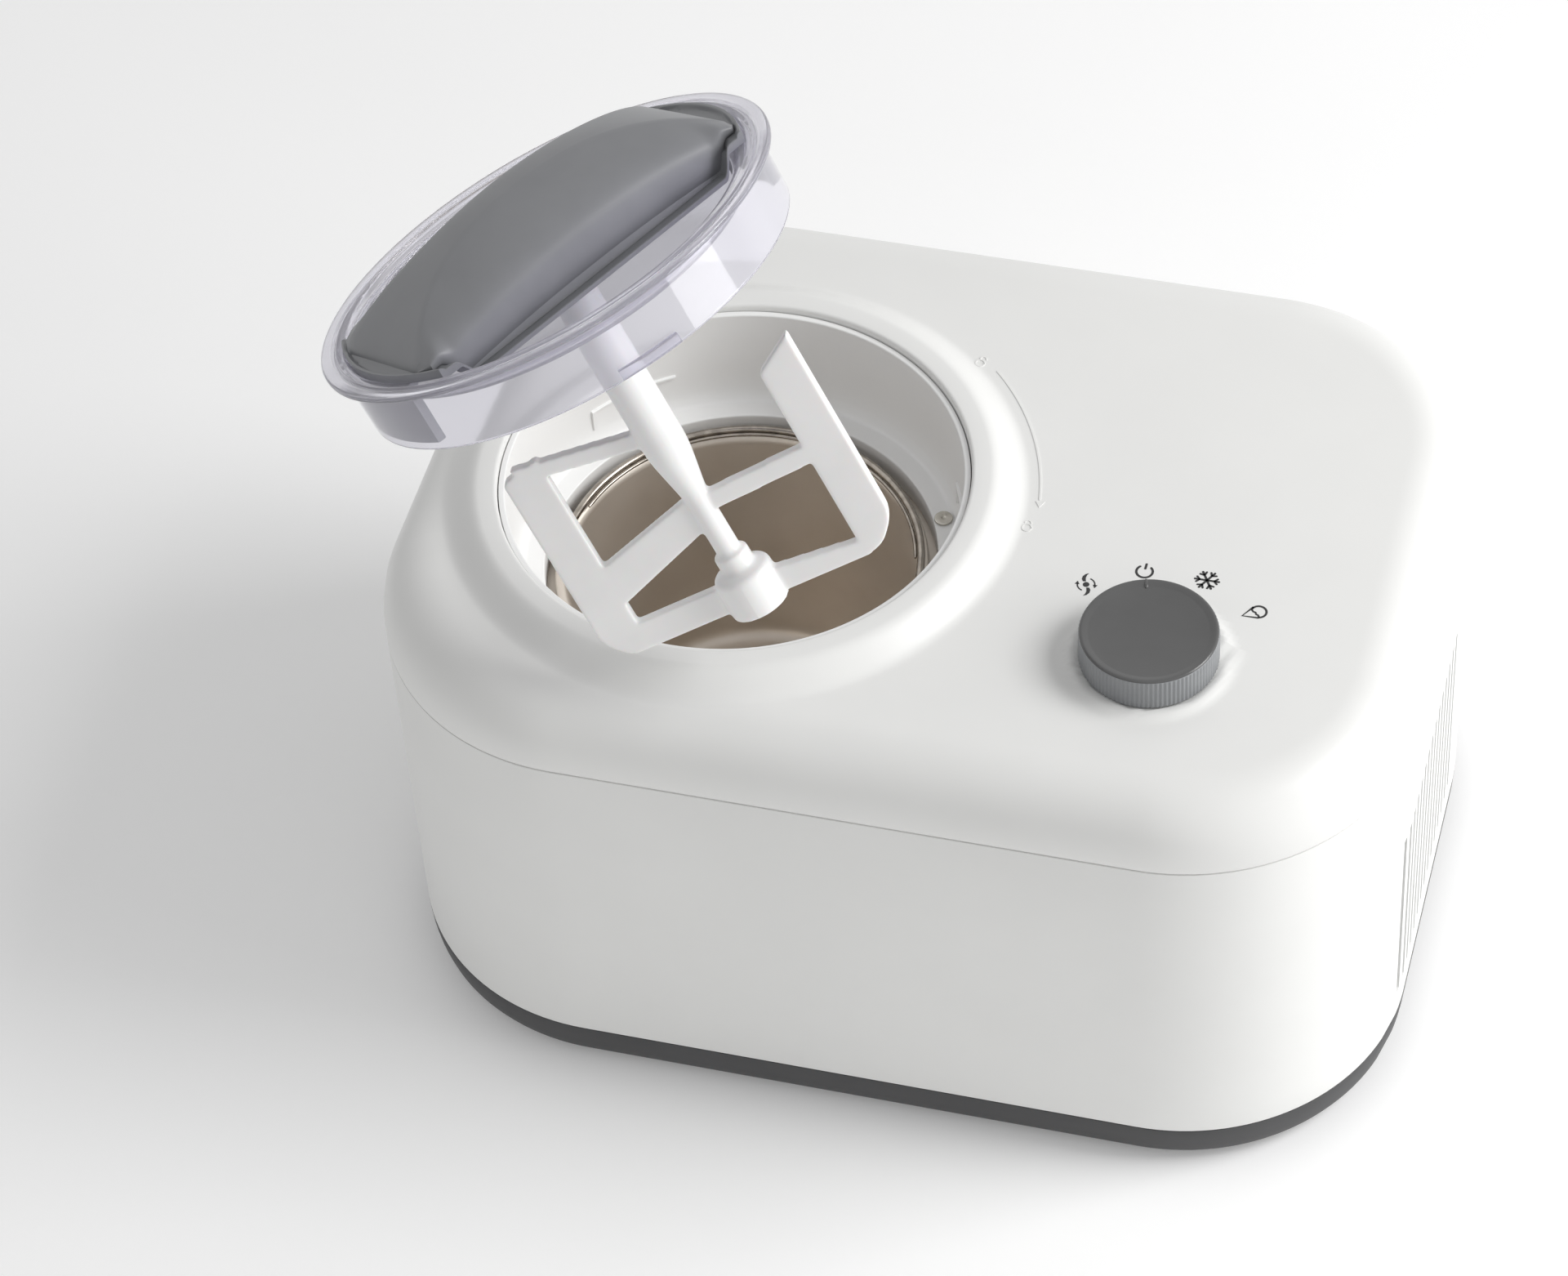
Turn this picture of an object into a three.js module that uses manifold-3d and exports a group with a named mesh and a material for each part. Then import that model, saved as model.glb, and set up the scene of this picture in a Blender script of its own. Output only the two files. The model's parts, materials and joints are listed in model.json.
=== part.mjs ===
// Self-cooling ice cream maker: a low cabinet with a compressor, a removable bowl under a round
// collar at the left, a function knob at the right, and a clear lid lifted off with its paddle.
// Millimetres, +Z up, +X to the user's right, +Y to the back. The origin is the centre of the
// base pan's underside.
import * as THREE from 'three';
import { mergeVertices } from 'three/addons/utils/BufferGeometryUtils.js';
import Module from 'manifold-3d';

const wasm = await Module();
wasm.setup();

// Clearances and wall thicknesses
const GAP = 0.3;
const RUN = 0.6;
const WALL = 2.5;

// Cabinet
const WIDTH = 420;
const DEPTH = 302;
const CORNER_R = 93;
const PAN_H = 19;
const PAN_FLOOR = 3;
const PAN_TAPER = 5;
const SEAM_Z = 182.5;
const TOP_Z = 213;
const TOP_FILLET = 22;
const FOOT_H = 3;
const FOOT_R = 11;
const FOOT_INSET = 70;
const SCREW_R = 2;
const SCREW_HEAD_R = 4.2;
const SCREW_INSET = 15;
const BOSS_R = 6;
const BOSS_TOP = 60;
const FOOT_STEM_R = 3;
const GLAND_R = 8;
const GLAND_BORE_R = 4;
const GLAND_X = WIDTH / 2 - 115;
const GLAND_Z = 34;

// Bowl, cooling well and insulation
const BOWL_X = -WIDTH / 2 + 133;
const BOWL_Y = -14;
const BOWL_R = 71.5;
const BOWL_WALL = 1.5;
const BOWL_TAPER = 2;
const BOWL_RIM_Z = 168;
const BOWL_FLOOR_Z = 49;
const RIM_ROLL = 4;
const TUBE_R = 7.2;
const TUBE_H = 14;
const WELL_WALL = 1.8;
const WELL_TOP_Z = 160;
const COIL_TUBE_R = 3;
const COIL_TURNS = 3;
const COIL_PITCH = 18;
const JACKET_T = 20;
const BAIL_WIRE_R = 1.6;
const BAIL_LIFT = 3;
const BRACKET_W = 4;
const BRACKET_L = 9;

// Collar and ledge around the bowl, from the bowl's rim outwards
const LEDGE_R = BOWL_R + 9;
const LEDGE_W = 12.1;
const MOUTH_R = LEDGE_R + LEDGE_W;
const STEP_R = MOUTH_R + 2.8;
const STEP_DEPTH = 2.8;
const COLLAR_W = 13.6;
const COLLAR_R = STEP_R + COLLAR_W;
const COLLAR_RISE = 8.5;
const COLLAR_FOOT = 7;
const LEDGE_Z = 172;
const LEDGE_LIP = 12;
const LEDGE_EDGE = 3.6;

// Drive train
const MODULE = 3;
const DRIVE_TEETH = 30;
const IDLER_TEETH = 34;
const PINION_TEETH = 10;
const TRAIN_ANGLE = -30;
const GEAR_Z = 14;
const GEAR_T = 10;
const GEARBOX_Z = 8;
const GEARBOX_WALL = 2;
const GEARBOX_TOP = 28;
const SPINDLE_R = 5;
const HEX_H = 9;
const IDLER_PIN_R = 4;
const MOTOR_SHAFT_R = 3;
const MOTOR_SHAFT_UP = 20;
const BUSHING_R = 9;
const MOTOR_R = 24;
const MOTOR_H = 64;

// Cooling machinery
const COMP_X = WIDTH / 2 - 118;
const COMP_Y = DEPTH / 2 - 83;
const COMP_R = 50;
const COMP_H = 118;
const COMP_Z = 22;
const GROMMET_R = 8;
const FAN_SIZE = 100;
const FAN_Y = -14;
const FAN_Z = 82;
const FAN_R = 43;
const FAN_T = 16;
const COND_T = 18;
const COND_GAP = 10;
const FIN_COUNT = 14;
const LOUVRES = 15;
const LOUVRE_PITCH = 8;
const LOUVRE_W = 3;
const LOUVRE_H = 96;
const GROMMET_STEM_R = 4;
const DRIER_R = 9;
const DRIER_H = 59;
const DRIER_PLACE = [30, -DEPTH / 2 + 23, 55];
const CAPACITOR_R = 15;
const CAPACITOR_H = 58;
const CAPACITOR_PLACE = [-WIDTH / 2 + 34, 62];
const DISCHARGE_R = 2.5;
const SUCTION_R = 3;

// Knob and controls
const KNOB_X = WIDTH / 2 - 105;
const KNOB_Y = -DEPTH / 2 + 82;
const KNOB_R = 27.5;
const KNOB_H = 15;
const KNOB_LIFT = 0.6;
const SHAFT_R = 3;
const SWITCH_SIZE = 26;
const SWITCH_H = 14;
const BOARD_L = 84;
const BOARD_W = 56;

// Lid and paddle: where the lid is held, how far it leans, and its own sizes
const LID_POS = new THREE.Vector3(-119.8, -83.4, 405);
const LID_TILT = 30.5;
const LID_LEAN = -18.86;
const SKIRT_GAP = 4.1;
const SKIRT_R = MOUTH_R - SKIRT_GAP;
const LID_R = SKIRT_R + 6;
const LID_T = 2.4;
const SKIRT_T = 2.2;
const SKIRT_H = 28;
const LID_HOLE_R = 7;
const LUG_COUNT = 3;
const LUG_ARC = 16;
const HANDLE_TURN = 73;
const LUG_TURN = 91;
const HANDLE_R = SKIRT_R - 4.5;
const HANDLE_HALF = 41;
const HANDLE_PLATE = 3;
const FIN_H = 26.5;
const FIN_WALL = 2.5;
const FIN_HALF_L = 79;
const FIN_HALF_W = 35;
const CREST_HALF_L = 34;
const CREST_HALF_W = 9;
const TAB_ARC = 34;
const BUSH_R = 10;
const BUSH_H = 11;
const PADDLE_TURN = 35;
const PADDLE_L = 172;
const PADDLE_GAP = 8;
const PADDLE_R = BOWL_R - PADDLE_GAP;
const BLADE_W = 17;
const BLADE_T = 5;
const BLADE_TOP = 78;
const PADDLE_SHAFT_R = 8.8;
const PADDLE_NECK_R = 4.6;
const HUB_R = 12;
const HUB_H = 26;

// Fineness of the round shapes
const HULL_STEPS = 24;
const FIN_LEVELS = 7;
const FIN_STEPS = 40;

const rad = (deg) => (deg * Math.PI) / 180;

// ---- solids: closed meshes joined and cut --------------------------------------------------

function signedVolume(geometry) {
  const p = geometry.attributes.position;
  const index = geometry.index;
  const a = new THREE.Vector3();
  const b = new THREE.Vector3();
  const c = new THREE.Vector3();
  let sum = 0;
  for (let i = 0; i < index.count; i += 3) {
    a.fromBufferAttribute(p, index.getX(i));
    b.fromBufferAttribute(p, index.getX(i + 1));
    c.fromBufferAttribute(p, index.getX(i + 2));
    sum += a.dot(b.cross(c));
  }
  return sum / 6;
}

// Welds a geometry's seams and turns its faces outwards.
function closed(source) {
  const bare = source.clone();
  bare.deleteAttribute('normal');
  bare.deleteAttribute('uv');
  const geometry = mergeVertices(bare, 1e-4);
  const kept = [];
  const index = geometry.index.array;
  for (let i = 0; i < index.length; i += 3) {
    const [a, b, c] = [index[i], index[i + 1], index[i + 2]];
    if (a !== b && b !== c && a !== c) kept.push(a, b, c);
  }
  geometry.setIndex(kept);
  if (signedVolume(geometry) < 0) {
    for (let i = 0; i < kept.length; i += 3) [kept[i], kept[i + 1]] = [kept[i + 1], kept[i]];
    geometry.setIndex(kept);
  }
  return geometry;
}

function toManifold(source) {
  const geometry = closed(source);
  const vertProperties = new Float32Array(geometry.attributes.position.array);
  const triVerts = new Uint32Array(geometry.index.array);
  return new wasm.Manifold(new wasm.Mesh({ numProp: 3, vertProperties, triVerts }));
}

function toGeometry(manifold) {
  const mesh = manifold.getMesh();
  const geometry = new THREE.BufferGeometry();
  geometry.setAttribute('position', new THREE.BufferAttribute(new Float32Array(mesh.vertProperties), 3));
  geometry.setIndex(new THREE.BufferAttribute(new Uint32Array(mesh.triVerts), 1));
  return geometry;
}

function cut(base, ...tools) {
  let solid = toManifold(base);
  for (const tool of tools) solid = solid.subtract(toManifold(tool));
  return toGeometry(solid);
}

function join(base, ...others) {
  let solid = toManifold(base);
  for (const other of others) solid = solid.add(toManifold(other));
  return toGeometry(solid);
}

// ---- basic shapes --------------------------------------------------------------------------

// Revolves [r, z] points about +Z; a ring profile is closed on itself.
function revolve(profile, segments = 32, ring = false) {
  const points = profile.map(([r, z]) => new THREE.Vector2(r, z));
  if (ring) points.push(points[0].clone());
  return new THREE.LatheGeometry(points, segments).rotateX(Math.PI / 2);
}

function cylinder(r, z0, z1, segments = 24) {
  return revolve([[0, z0], [r, z0], [r, z1], [0, z1]], segments);
}

function ring(r0, r1, z0, z1, segments = 24) {
  return revolve([[r0, z0], [r1, z0], [r1, z1], [r0, z1]], segments, true);
}

function box(x0, x1, y0, y1, z0, z1) {
  const geometry = new THREE.BoxGeometry(x1 - x0, y1 - y0, z1 - z0);
  return geometry.translate((x0 + x1) / 2, (y0 + y1) / 2, (z0 + z1) / 2);
}

function extrude(shape, z0, z1, curveSegments = 8) {
  const options = { depth: z1 - z0, bevelEnabled: false, curveSegments };
  return new THREE.ExtrudeGeometry(shape, options).translate(0, 0, z0);
}

function polygon(points) {
  return new THREE.Shape(points.map(([x, y]) => new THREE.Vector2(x, y)));
}

function tube(points, r, steps, sides = 8) {
  const section = new THREE.Shape();
  for (let i = 0; i < sides; i += 1) {
    const t = (i / sides) * Math.PI * 2;
    if (i === 0) section.moveTo(r, 0);
    else section.lineTo(r * Math.cos(t), r * Math.sin(t));
  }
  section.closePath();
  const extrudePath = new THREE.CatmullRomCurve3(points, false, 'centripetal');
  return new THREE.ExtrudeGeometry(section, { steps, bevelEnabled: false, extrudePath });
}

// The cabinet's plan outline, drawn in by an inset.
function planOutline(inset, perCorner = 6) {
  const r = CORNER_R - inset;
  const cx = WIDTH / 2 - CORNER_R;
  const cy = DEPTH / 2 - CORNER_R;
  const points = [];
  for (const [sx, sy, start] of [[1, -1, -90], [1, 1, 0], [-1, 1, 90], [-1, -1, 180]]) {
    for (let i = 0; i <= perCorner; i += 1) {
      const t = rad(start + (90 * i) / perCorner);
      points.push([sx * cx + r * Math.cos(t), sy * cy + r * Math.sin(t)]);
    }
  }
  return points;
}

// A closed solid through plan outlines stacked at [z, inset] levels.
function cabinetLoft(levels) {
  const rings = levels.map(([z, inset]) => planOutline(inset).map(([x, y]) => [x, y, z]));
  const n = rings[0].length;
  const last = (rings.length - 1) * n;
  const positions = rings.flat(2);
  const index = [];
  for (let k = 0; k < rings.length - 1; k += 1) {
    for (let i = 0; i < n; i += 1) {
      const j = (i + 1) % n;
      const a = k * n;
      index.push(a + i, a + j, a + n + j, a + i, a + n + j, a + n + i);
    }
  }
  for (let i = 1; i < n - 1; i += 1) {
    index.push(0, i + 1, i, last, last + i, last + i + 1);
  }
  const geometry = new THREE.BufferGeometry();
  geometry.setAttribute('position', new THREE.Float32BufferAttribute(positions, 3));
  geometry.setIndex(index);
  return geometry;
}

// The smallest outline around a set of circles [x, y, r].
function hullOutline(circles) {
  const points = [];
  for (const [x, y, r] of circles) {
    for (let i = 0; i < HULL_STEPS; i += 1) {
      const t = (i / HULL_STEPS) * Math.PI * 2;
      points.push([x + r * Math.cos(t), y + r * Math.sin(t)].map((c) => Number(c.toFixed(5))));
    }
  }
  points.sort((p, q) => p[0] - q[0] || p[1] - q[1]);
  const turn = (o, p, q) => (p[0] - o[0]) * (q[1] - o[1]) - (p[1] - o[1]) * (q[0] - o[0]);
  const half = (list) => {
    const chain = [];
    for (const p of list) {
      while (chain.length > 1 && turn(chain.at(-2), chain.at(-1), p) <= 1e-6) chain.pop();
      chain.push(p);
    }
    return chain.slice(0, -1);
  };
  return [...half(points), ...half([...points].reverse())];
}

// ---- materials and placing -----------------------------------------------------------------

const LOOKS = {
  white: { color: 0xe8e8e6, roughness: 0.35, metalness: 0 },
  grey: { color: 0x6c6d70, roughness: 0.45, metalness: 0 },
  milky: { color: 0xf1f1ee, roughness: 0.4, metalness: 0 },
  clear: { color: 0xdcdce6, roughness: 0.1, metalness: 0 },
  aluminium: { color: 0xb9b6b0, roughness: 0.35, metalness: 1 },
  steel: { color: 0xb8b5b0, roughness: 0.25, metalness: 1 },
  copper: { color: 0xb8734a, roughness: 0.35, metalness: 1 },
  black: { color: 0x1d1e20, roughness: 0.5, metalness: 0 },
  rubber: { color: 0x2b2b2c, roughness: 0.85, metalness: 0 },
  foam: { color: 0xe6d9a8, roughness: 0.9, metalness: 0 },
  board: { color: 0x1f5c3a, roughness: 0.5, metalness: 0 },
};

const model = new THREE.Group();

function place(name, look, geometry, parent = model) {
  const mesh = new THREE.Mesh(closed(geometry), new THREE.MeshStandardMaterial(LOOKS[look]));
  mesh.name = name;
  parent.add(mesh);
  return mesh;
}

const bowlAxis = new THREE.Group();
bowlAxis.position.set(BOWL_X, BOWL_Y, 0);
model.add(bowlAxis);

const corners = [
  ['front_left', -1, -1],
  ['front_right', 1, -1],
  ['rear_left', -1, 1],
  ['rear_right', 1, 1],
];

// ---- cabinet -------------------------------------------------------------------------------

function footPlace(sx, sy) {
  return [sx * (WIDTH / 2 - FOOT_INSET), sy * (DEPTH / 2 - FOOT_INSET + 25)];
}

// A place on the diagonal of a round corner, a given distance inside the shell's outer face.
function cornerPlace(sx, sy, inset) {
  const out = (CORNER_R - inset) * Math.SQRT1_2;
  return [sx * (WIDTH / 2 - CORNER_R + out), sy * (DEPTH / 2 - CORNER_R + out)];
}

function basePan() {
  const outer = cabinetLoft([[0, PAN_TAPER], [1.2, 3.4], [5, 1.8], [PAN_H, 0]]);
  const holes = [cabinetLoft([[PAN_FLOOR, PAN_TAPER + WALL], [PAN_H + 1, WALL]])];
  for (const [, sx, sy] of corners) {
    const [fx, fy] = footPlace(sx, sy);
    const [bx, by] = cornerPlace(sx, sy, SCREW_INSET);
    holes.push(cylinder(FOOT_STEM_R + GAP, -1, PAN_FLOOR + 1, 10).translate(fx, fy, 0));
    holes.push(cylinder(SCREW_HEAD_R + GAP, -1, 1.4, 8).translate(bx, by, 0));
    holes.push(cylinder(SCREW_R + GAP, -1, PAN_FLOOR + 9, 8).translate(bx, by, 0));
  }
  place('base_pan', 'grey', cut(outer, ...holes));
}

function feetAndScrews() {
  for (const [where, sx, sy] of corners) {
    const [fx, fy] = footPlace(sx, sy);
    const foot = revolve(
      [
        [0, -FOOT_H],
        [FOOT_R - 1, -FOOT_H],
        [FOOT_R, -FOOT_H + 1],
        [FOOT_R, -GAP],
        [FOOT_STEM_R, -GAP],
        [FOOT_STEM_R, PAN_FLOOR + 2],
        [0, PAN_FLOOR + 2],
      ],
      14,
    );
    place(`foot_${where}`, 'rubber', foot).position.set(fx, fy, 0);
    const [bx, by] = cornerPlace(sx, sy, SCREW_INSET);
    const screw = revolve(
      [[0, 0.1], [SCREW_HEAD_R, 0.1], [SCREW_HEAD_R, 1], [SCREW_R, 1], [SCREW_R, 40], [0, 41]],
      8,
    );
    place(`base_screw_${where}`, 'steel', screw).position.set(bx, by, 0);
  }
}

// The upright wall with its end louvres. Each screw boss stands off the wall on a solid web.
function bodyShell() {
  const z0 = PAN_H + GAP;
  const z1 = SEAM_Z - GAP;
  let shell = cut(cabinetLoft([[z0, 0], [z1, 0]]), cabinetLoft([[z0 - 1, WALL], [z1 + 1, WALL]]));
  const bosses = [];
  const cuts = [];
  for (const [, sx, sy] of corners) {
    const [bx, by] = cornerPlace(sx, sy, SCREW_INSET);
    const [wx, wy] = cornerPlace(sx, sy, WALL + BOSS_R - 1.5);
    const bossShape = polygon(hullOutline([[bx, by, BOSS_R], [wx, wy, BOSS_R]]));
    bosses.push(extrude(bossShape, z0, BOSS_TOP));
    cuts.push(cylinder(SCREW_R + GAP, z0 - 1, BOSS_TOP - 8, 8).translate(bx, by, 0));
  }
  shell = join(shell, ...bosses);
  for (let i = 0; i < LOUVRES; i += 1) {
    const y = FAN_Y + (i - (LOUVRES - 1) / 2) * LOUVRE_PITCH;
    const z = FAN_Z - LOUVRE_H / 2;
    const x = WIDTH / 2;
    cuts.push(box(x - 10, x + 10, y - LOUVRE_W / 2, y + LOUVRE_W / 2, z, z + LOUVRE_H));
    cuts.push(box(-x - 10, -x + 10, y - LOUVRE_W / 2, y + LOUVRE_W / 2, z, z + LOUVRE_H));
  }
  const glandHole = cylinder(GLAND_R + GAP, -10, 10, 16).rotateX(Math.PI / 2);
  cuts.push(glandHole.translate(GLAND_X, DEPTH / 2, GLAND_Z));
  place('body_shell', 'white', cut(shell, ...cuts));
}

// The inlet that the mains lead passes through, at the back.
function cordGland() {
  const y = DEPTH / 2;
  const body = revolve(
    [
      [GLAND_BORE_R, -WALL - 6],
      [GLAND_R, -WALL - 6],
      [GLAND_R, GAP],
      [GLAND_R + 3, GAP],
      [GLAND_R + 2, 4],
      [GLAND_BORE_R, 4],
    ],
    16,
    true,
  );
  place('cord_gland', 'black', body.rotateX(-Math.PI / 2)).position.set(GLAND_X, y, GLAND_Z);
}

function topCover() {
  const z0 = SEAM_Z + GAP;
  const start = TOP_Z - TOP_FILLET;
  const outer = [[z0, 0]];
  const inner = [[z0 - 1, WALL]];
  for (let i = 0; i <= 4; i += 1) {
    const t = rad(22.5 * i);
    const inset = TOP_FILLET * (1 - Math.cos(t));
    outer.push([start + TOP_FILLET * Math.sin(t), inset]);
    inner.push([start - WALL + TOP_FILLET * Math.sin(t), WALL + inset]);
  }
  const collarTop = TOP_Z + COLLAR_RISE;
  const collar = revolve(
    [
      [COLLAR_R + COLLAR_FOOT, TOP_Z - WALL],
      [COLLAR_R + COLLAR_FOOT, TOP_Z],
      [COLLAR_R + 2.2, TOP_Z + 2],
      [COLLAR_R, TOP_Z + COLLAR_RISE - 3],
      [COLLAR_R - 2, collarTop - 0.8],
      [COLLAR_R - 4.5, collarTop],
      [STEP_R + 3.2, collarTop],
      [STEP_R + 0.8, collarTop - 0.8],
      [STEP_R, collarTop - 1.8],
      [STEP_R, TOP_Z - WALL],
    ],
    36,
    true,
  ).translate(BOWL_X, BOWL_Y, 0);
  const mouth = cylinder(STEP_R + WALL + 3, 150, TOP_Z + 20, 36).translate(BOWL_X, BOWL_Y, 0);
  const knobHole = cylinder(SHAFT_R + 2, 150, TOP_Z + 20, 16).translate(KNOB_X, KNOB_Y, 0);
  const shell = cut(cabinetLoft(outer), cabinetLoft(inner), mouth, knobHole);
  place('top_cover', 'white', join(shell, collar));
}

// The ring inside the collar: the mouth's wall and the ledge that the lid's skirt comes down to.
function collarLiner() {
  const stepZ = TOP_Z + COLLAR_RISE - STEP_DEPTH;
  const outer = STEP_R - GAP;
  const liner = revolve(
    [
      [outer, stepZ],
      [MOUTH_R, stepZ],
      [MOUTH_R - 1.6, LEDGE_Z + 2],
      [MOUTH_R - LEDGE_EDGE, LEDGE_Z],
      [LEDGE_R, LEDGE_Z],
      [LEDGE_R, LEDGE_Z - LEDGE_LIP],
      [LEDGE_R + WALL, LEDGE_Z - LEDGE_LIP],
      [LEDGE_R + WALL, LEDGE_Z - WALL],
      [outer, LEDGE_Z - WALL],
    ],
    36,
    true,
  );
  place('collar_liner', 'white', liner, bowlAxis);
}

// The small disc on the ledge that feels the lid's magnet.
function lidSensor() {
  const disc = cylinder(3.8, LEDGE_Z + GAP, LEDGE_Z + GAP + 0.9, 16);
  const r = (LEDGE_R + MOUTH_R - LEDGE_EDGE) / 2;
  const t = rad(26);
  place('lid_sensor', 'steel', disc, bowlAxis).position.set(r * Math.cos(t), r * Math.sin(t), 0);
}

// ---- cold parts ----------------------------------------------------------------------------

const WELL_R = BOWL_R + BOWL_WALL + 2;
const WELL_FLOOR_Z = BOWL_FLOOR_Z - BOWL_WALL - 1.6;

function coolingWell() {
  const outer = WELL_R + WELL_WALL;
  const well = revolve(
    [
      [TUBE_R + 1, WELL_FLOOR_Z - WELL_WALL],
      [outer - BOWL_TAPER - 5, WELL_FLOOR_Z - WELL_WALL],
      [outer - BOWL_TAPER, WELL_FLOOR_Z + 5],
      [outer, WELL_TOP_Z - 2],
      [outer + 6, WELL_TOP_Z - 2],
      [outer + 6, WELL_TOP_Z - GAP],
      [WELL_R, WELL_TOP_Z - GAP],
      [WELL_R - BOWL_TAPER, WELL_FLOOR_Z + 6],
      [WELL_R - BOWL_TAPER - 6, WELL_FLOOR_Z],
      [TUBE_R + 1, WELL_FLOOR_Z],
    ],
    28,
    true,
  );
  place('cooling_well', 'aluminium', well, bowlAxis);
}

function evaporatorCoil() {
  const r = WELL_R + WELL_WALL + COIL_TUBE_R + 1.3;
  const z0 = WELL_FLOOR_Z + 12;
  const points = [];
  const steps = COIL_TURNS * 14;
  for (let i = 0; i <= steps; i += 1) {
    const turns = (i / steps) * COIL_TURNS;
    const t = rad(90) + turns * Math.PI * 2;
    points.push(new THREE.Vector3(r * Math.cos(t), r * Math.sin(t), z0 + turns * COIL_PITCH));
  }
  place('evaporator_coil', 'copper', tube(points, COIL_TUBE_R, steps, 6), bowlAxis);
}

function insulationJacket() {
  const r = WELL_R + WELL_WALL + 2 * COIL_TUBE_R + 2;
  const z1 = WELL_TOP_Z - 3;
  place('insulation_jacket', 'foam', ring(r, r + JACKET_T, WELL_FLOOR_Z - 2, z1, 32), bowlAxis);
}

function shaftSeal() {
  const seal = ring(SPINDLE_R + GAP, TUBE_R + 1 - GAP, WELL_FLOOR_Z - WELL_WALL, WELL_FLOOR_Z + 1, 20);
  place('shaft_seal', 'rubber', seal, bowlAxis);
}

function bowl() {
  const r = BOWL_R - BOWL_TAPER;
  const z = BOWL_FLOOR_Z;
  const profile = [
    [TUBE_R, z - BOWL_WALL],
    [TUBE_R, z + TUBE_H],
    [TUBE_R + BOWL_WALL, z + TUBE_H],
    [TUBE_R + BOWL_WALL, z + 1.5],
    [TUBE_R + BOWL_WALL + 2, z],
    [r - 6, z],
    [r - 1.8, z + 1.8],
    [r, z + 6],
    [BOWL_R, BOWL_RIM_Z - 3],
    [BOWL_R + 1.6, BOWL_RIM_Z - 0.5],
    [BOWL_R + RIM_ROLL, BOWL_RIM_Z],
    [BOWL_R + RIM_ROLL + 1.5, BOWL_RIM_Z - 1.5],
    [BOWL_R + RIM_ROLL, BOWL_RIM_Z - 3],
    [BOWL_R + BOWL_WALL, BOWL_RIM_Z - 4],
    [r + BOWL_WALL, z + 5],
    [r - 5, z - BOWL_WALL],
  ];
  place('bowl', 'aluminium', revolve(profile, 32, true), bowlAxis);
}

const BAIL_Z = BOWL_RIM_Z + BAIL_LIFT;
const BRACKET_X = BOWL_R + RIM_ROLL + 0.2;

// Two riveted brackets on the rim carry the wire handle's turned-out ends.
function bowlBrackets() {
  for (const [side, s] of [['left', -1], ['right', 1]]) {
    const x = s * (BRACKET_X + BRACKET_W / 2);
    const block = box(x - BRACKET_W / 2, x + BRACKET_W / 2, -BRACKET_L / 2, BRACKET_L / 2,
      BOWL_RIM_Z + GAP, BAIL_Z + BAIL_WIRE_R + 1.4);
    const hole = cylinder(BAIL_WIRE_R + GAP, -10, 10, 12).rotateY(Math.PI / 2).translate(x, 0, BAIL_Z);
    place(`bowl_bracket_${side}`, 'steel', cut(block, hole), bowlAxis);
  }
}

function bowlHandle() {
  const r = BRACKET_X - BAIL_WIRE_R - 0.5;
  const end = BRACKET_X + BRACKET_W - 0.4;
  const points = [new THREE.Vector3(-end, 0, BAIL_Z), new THREE.Vector3(-r - 0.8, 0, BAIL_Z)];
  for (let i = 1; i < 24; i += 1) {
    const t = Math.PI - (i / 24) * Math.PI;
    points.push(new THREE.Vector3(r * Math.cos(t), r * Math.sin(t), BAIL_Z));
  }
  points.push(new THREE.Vector3(r + 0.8, 0, BAIL_Z), new THREE.Vector3(end, 0, BAIL_Z));
  place('bowl_handle', 'steel', tube(points, BAIL_WIRE_R, 44, 6), bowlAxis);
}

// ---- drive train ---------------------------------------------------------------------------

const driveR = (MODULE * DRIVE_TEETH) / 2;
const idlerR = (MODULE * IDLER_TEETH) / 2;
const pinionR = (MODULE * PINION_TEETH) / 2;

function trainPoint(distance) {
  const t = rad(TRAIN_ANGLE);
  return [BOWL_X + distance * Math.cos(t), BOWL_Y + distance * Math.sin(t)];
}

const [IDLER_X, IDLER_Y] = trainPoint(driveR + idlerR);
const [MOTOR_X, MOTOR_Y] = trainPoint(driveR + 2 * idlerR + pinionR);

// A spur gear with straight-sided teeth; a tooth or a gap faces `angle`. An idler with an even number of
// teeth shows the same feature to both of its neighbours.
function gear(teeth, angle, toothFirst, boreR) {
  const r = (MODULE * teeth) / 2;
  const pitch = (Math.PI * 2) / teeth;
  const start = rad(angle) + (toothFirst ? 0 : pitch / 2);
  const tip = r + 0.7 * MODULE;
  const root = r - 1.1 * MODULE;
  const outline = [];
  for (let i = 0; i < teeth; i += 1) {
    const t = start + i * pitch;
    for (const [share, radius] of [[-0.28, root], [-0.1, tip], [0.1, tip], [0.28, root]]) {
      outline.push([radius * Math.cos(t + share * pitch), radius * Math.sin(t + share * pitch)]);
    }
  }
  const shape = polygon(outline);
  if (boreR > 0) {
    const bore = new THREE.Path();
    bore.absarc(0, 0, boreR, 0, Math.PI * 2, true);
    shape.holes.push(bore);
  }
  return extrude(shape, GEAR_Z, GEAR_Z + GEAR_T, 5);
}

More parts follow.
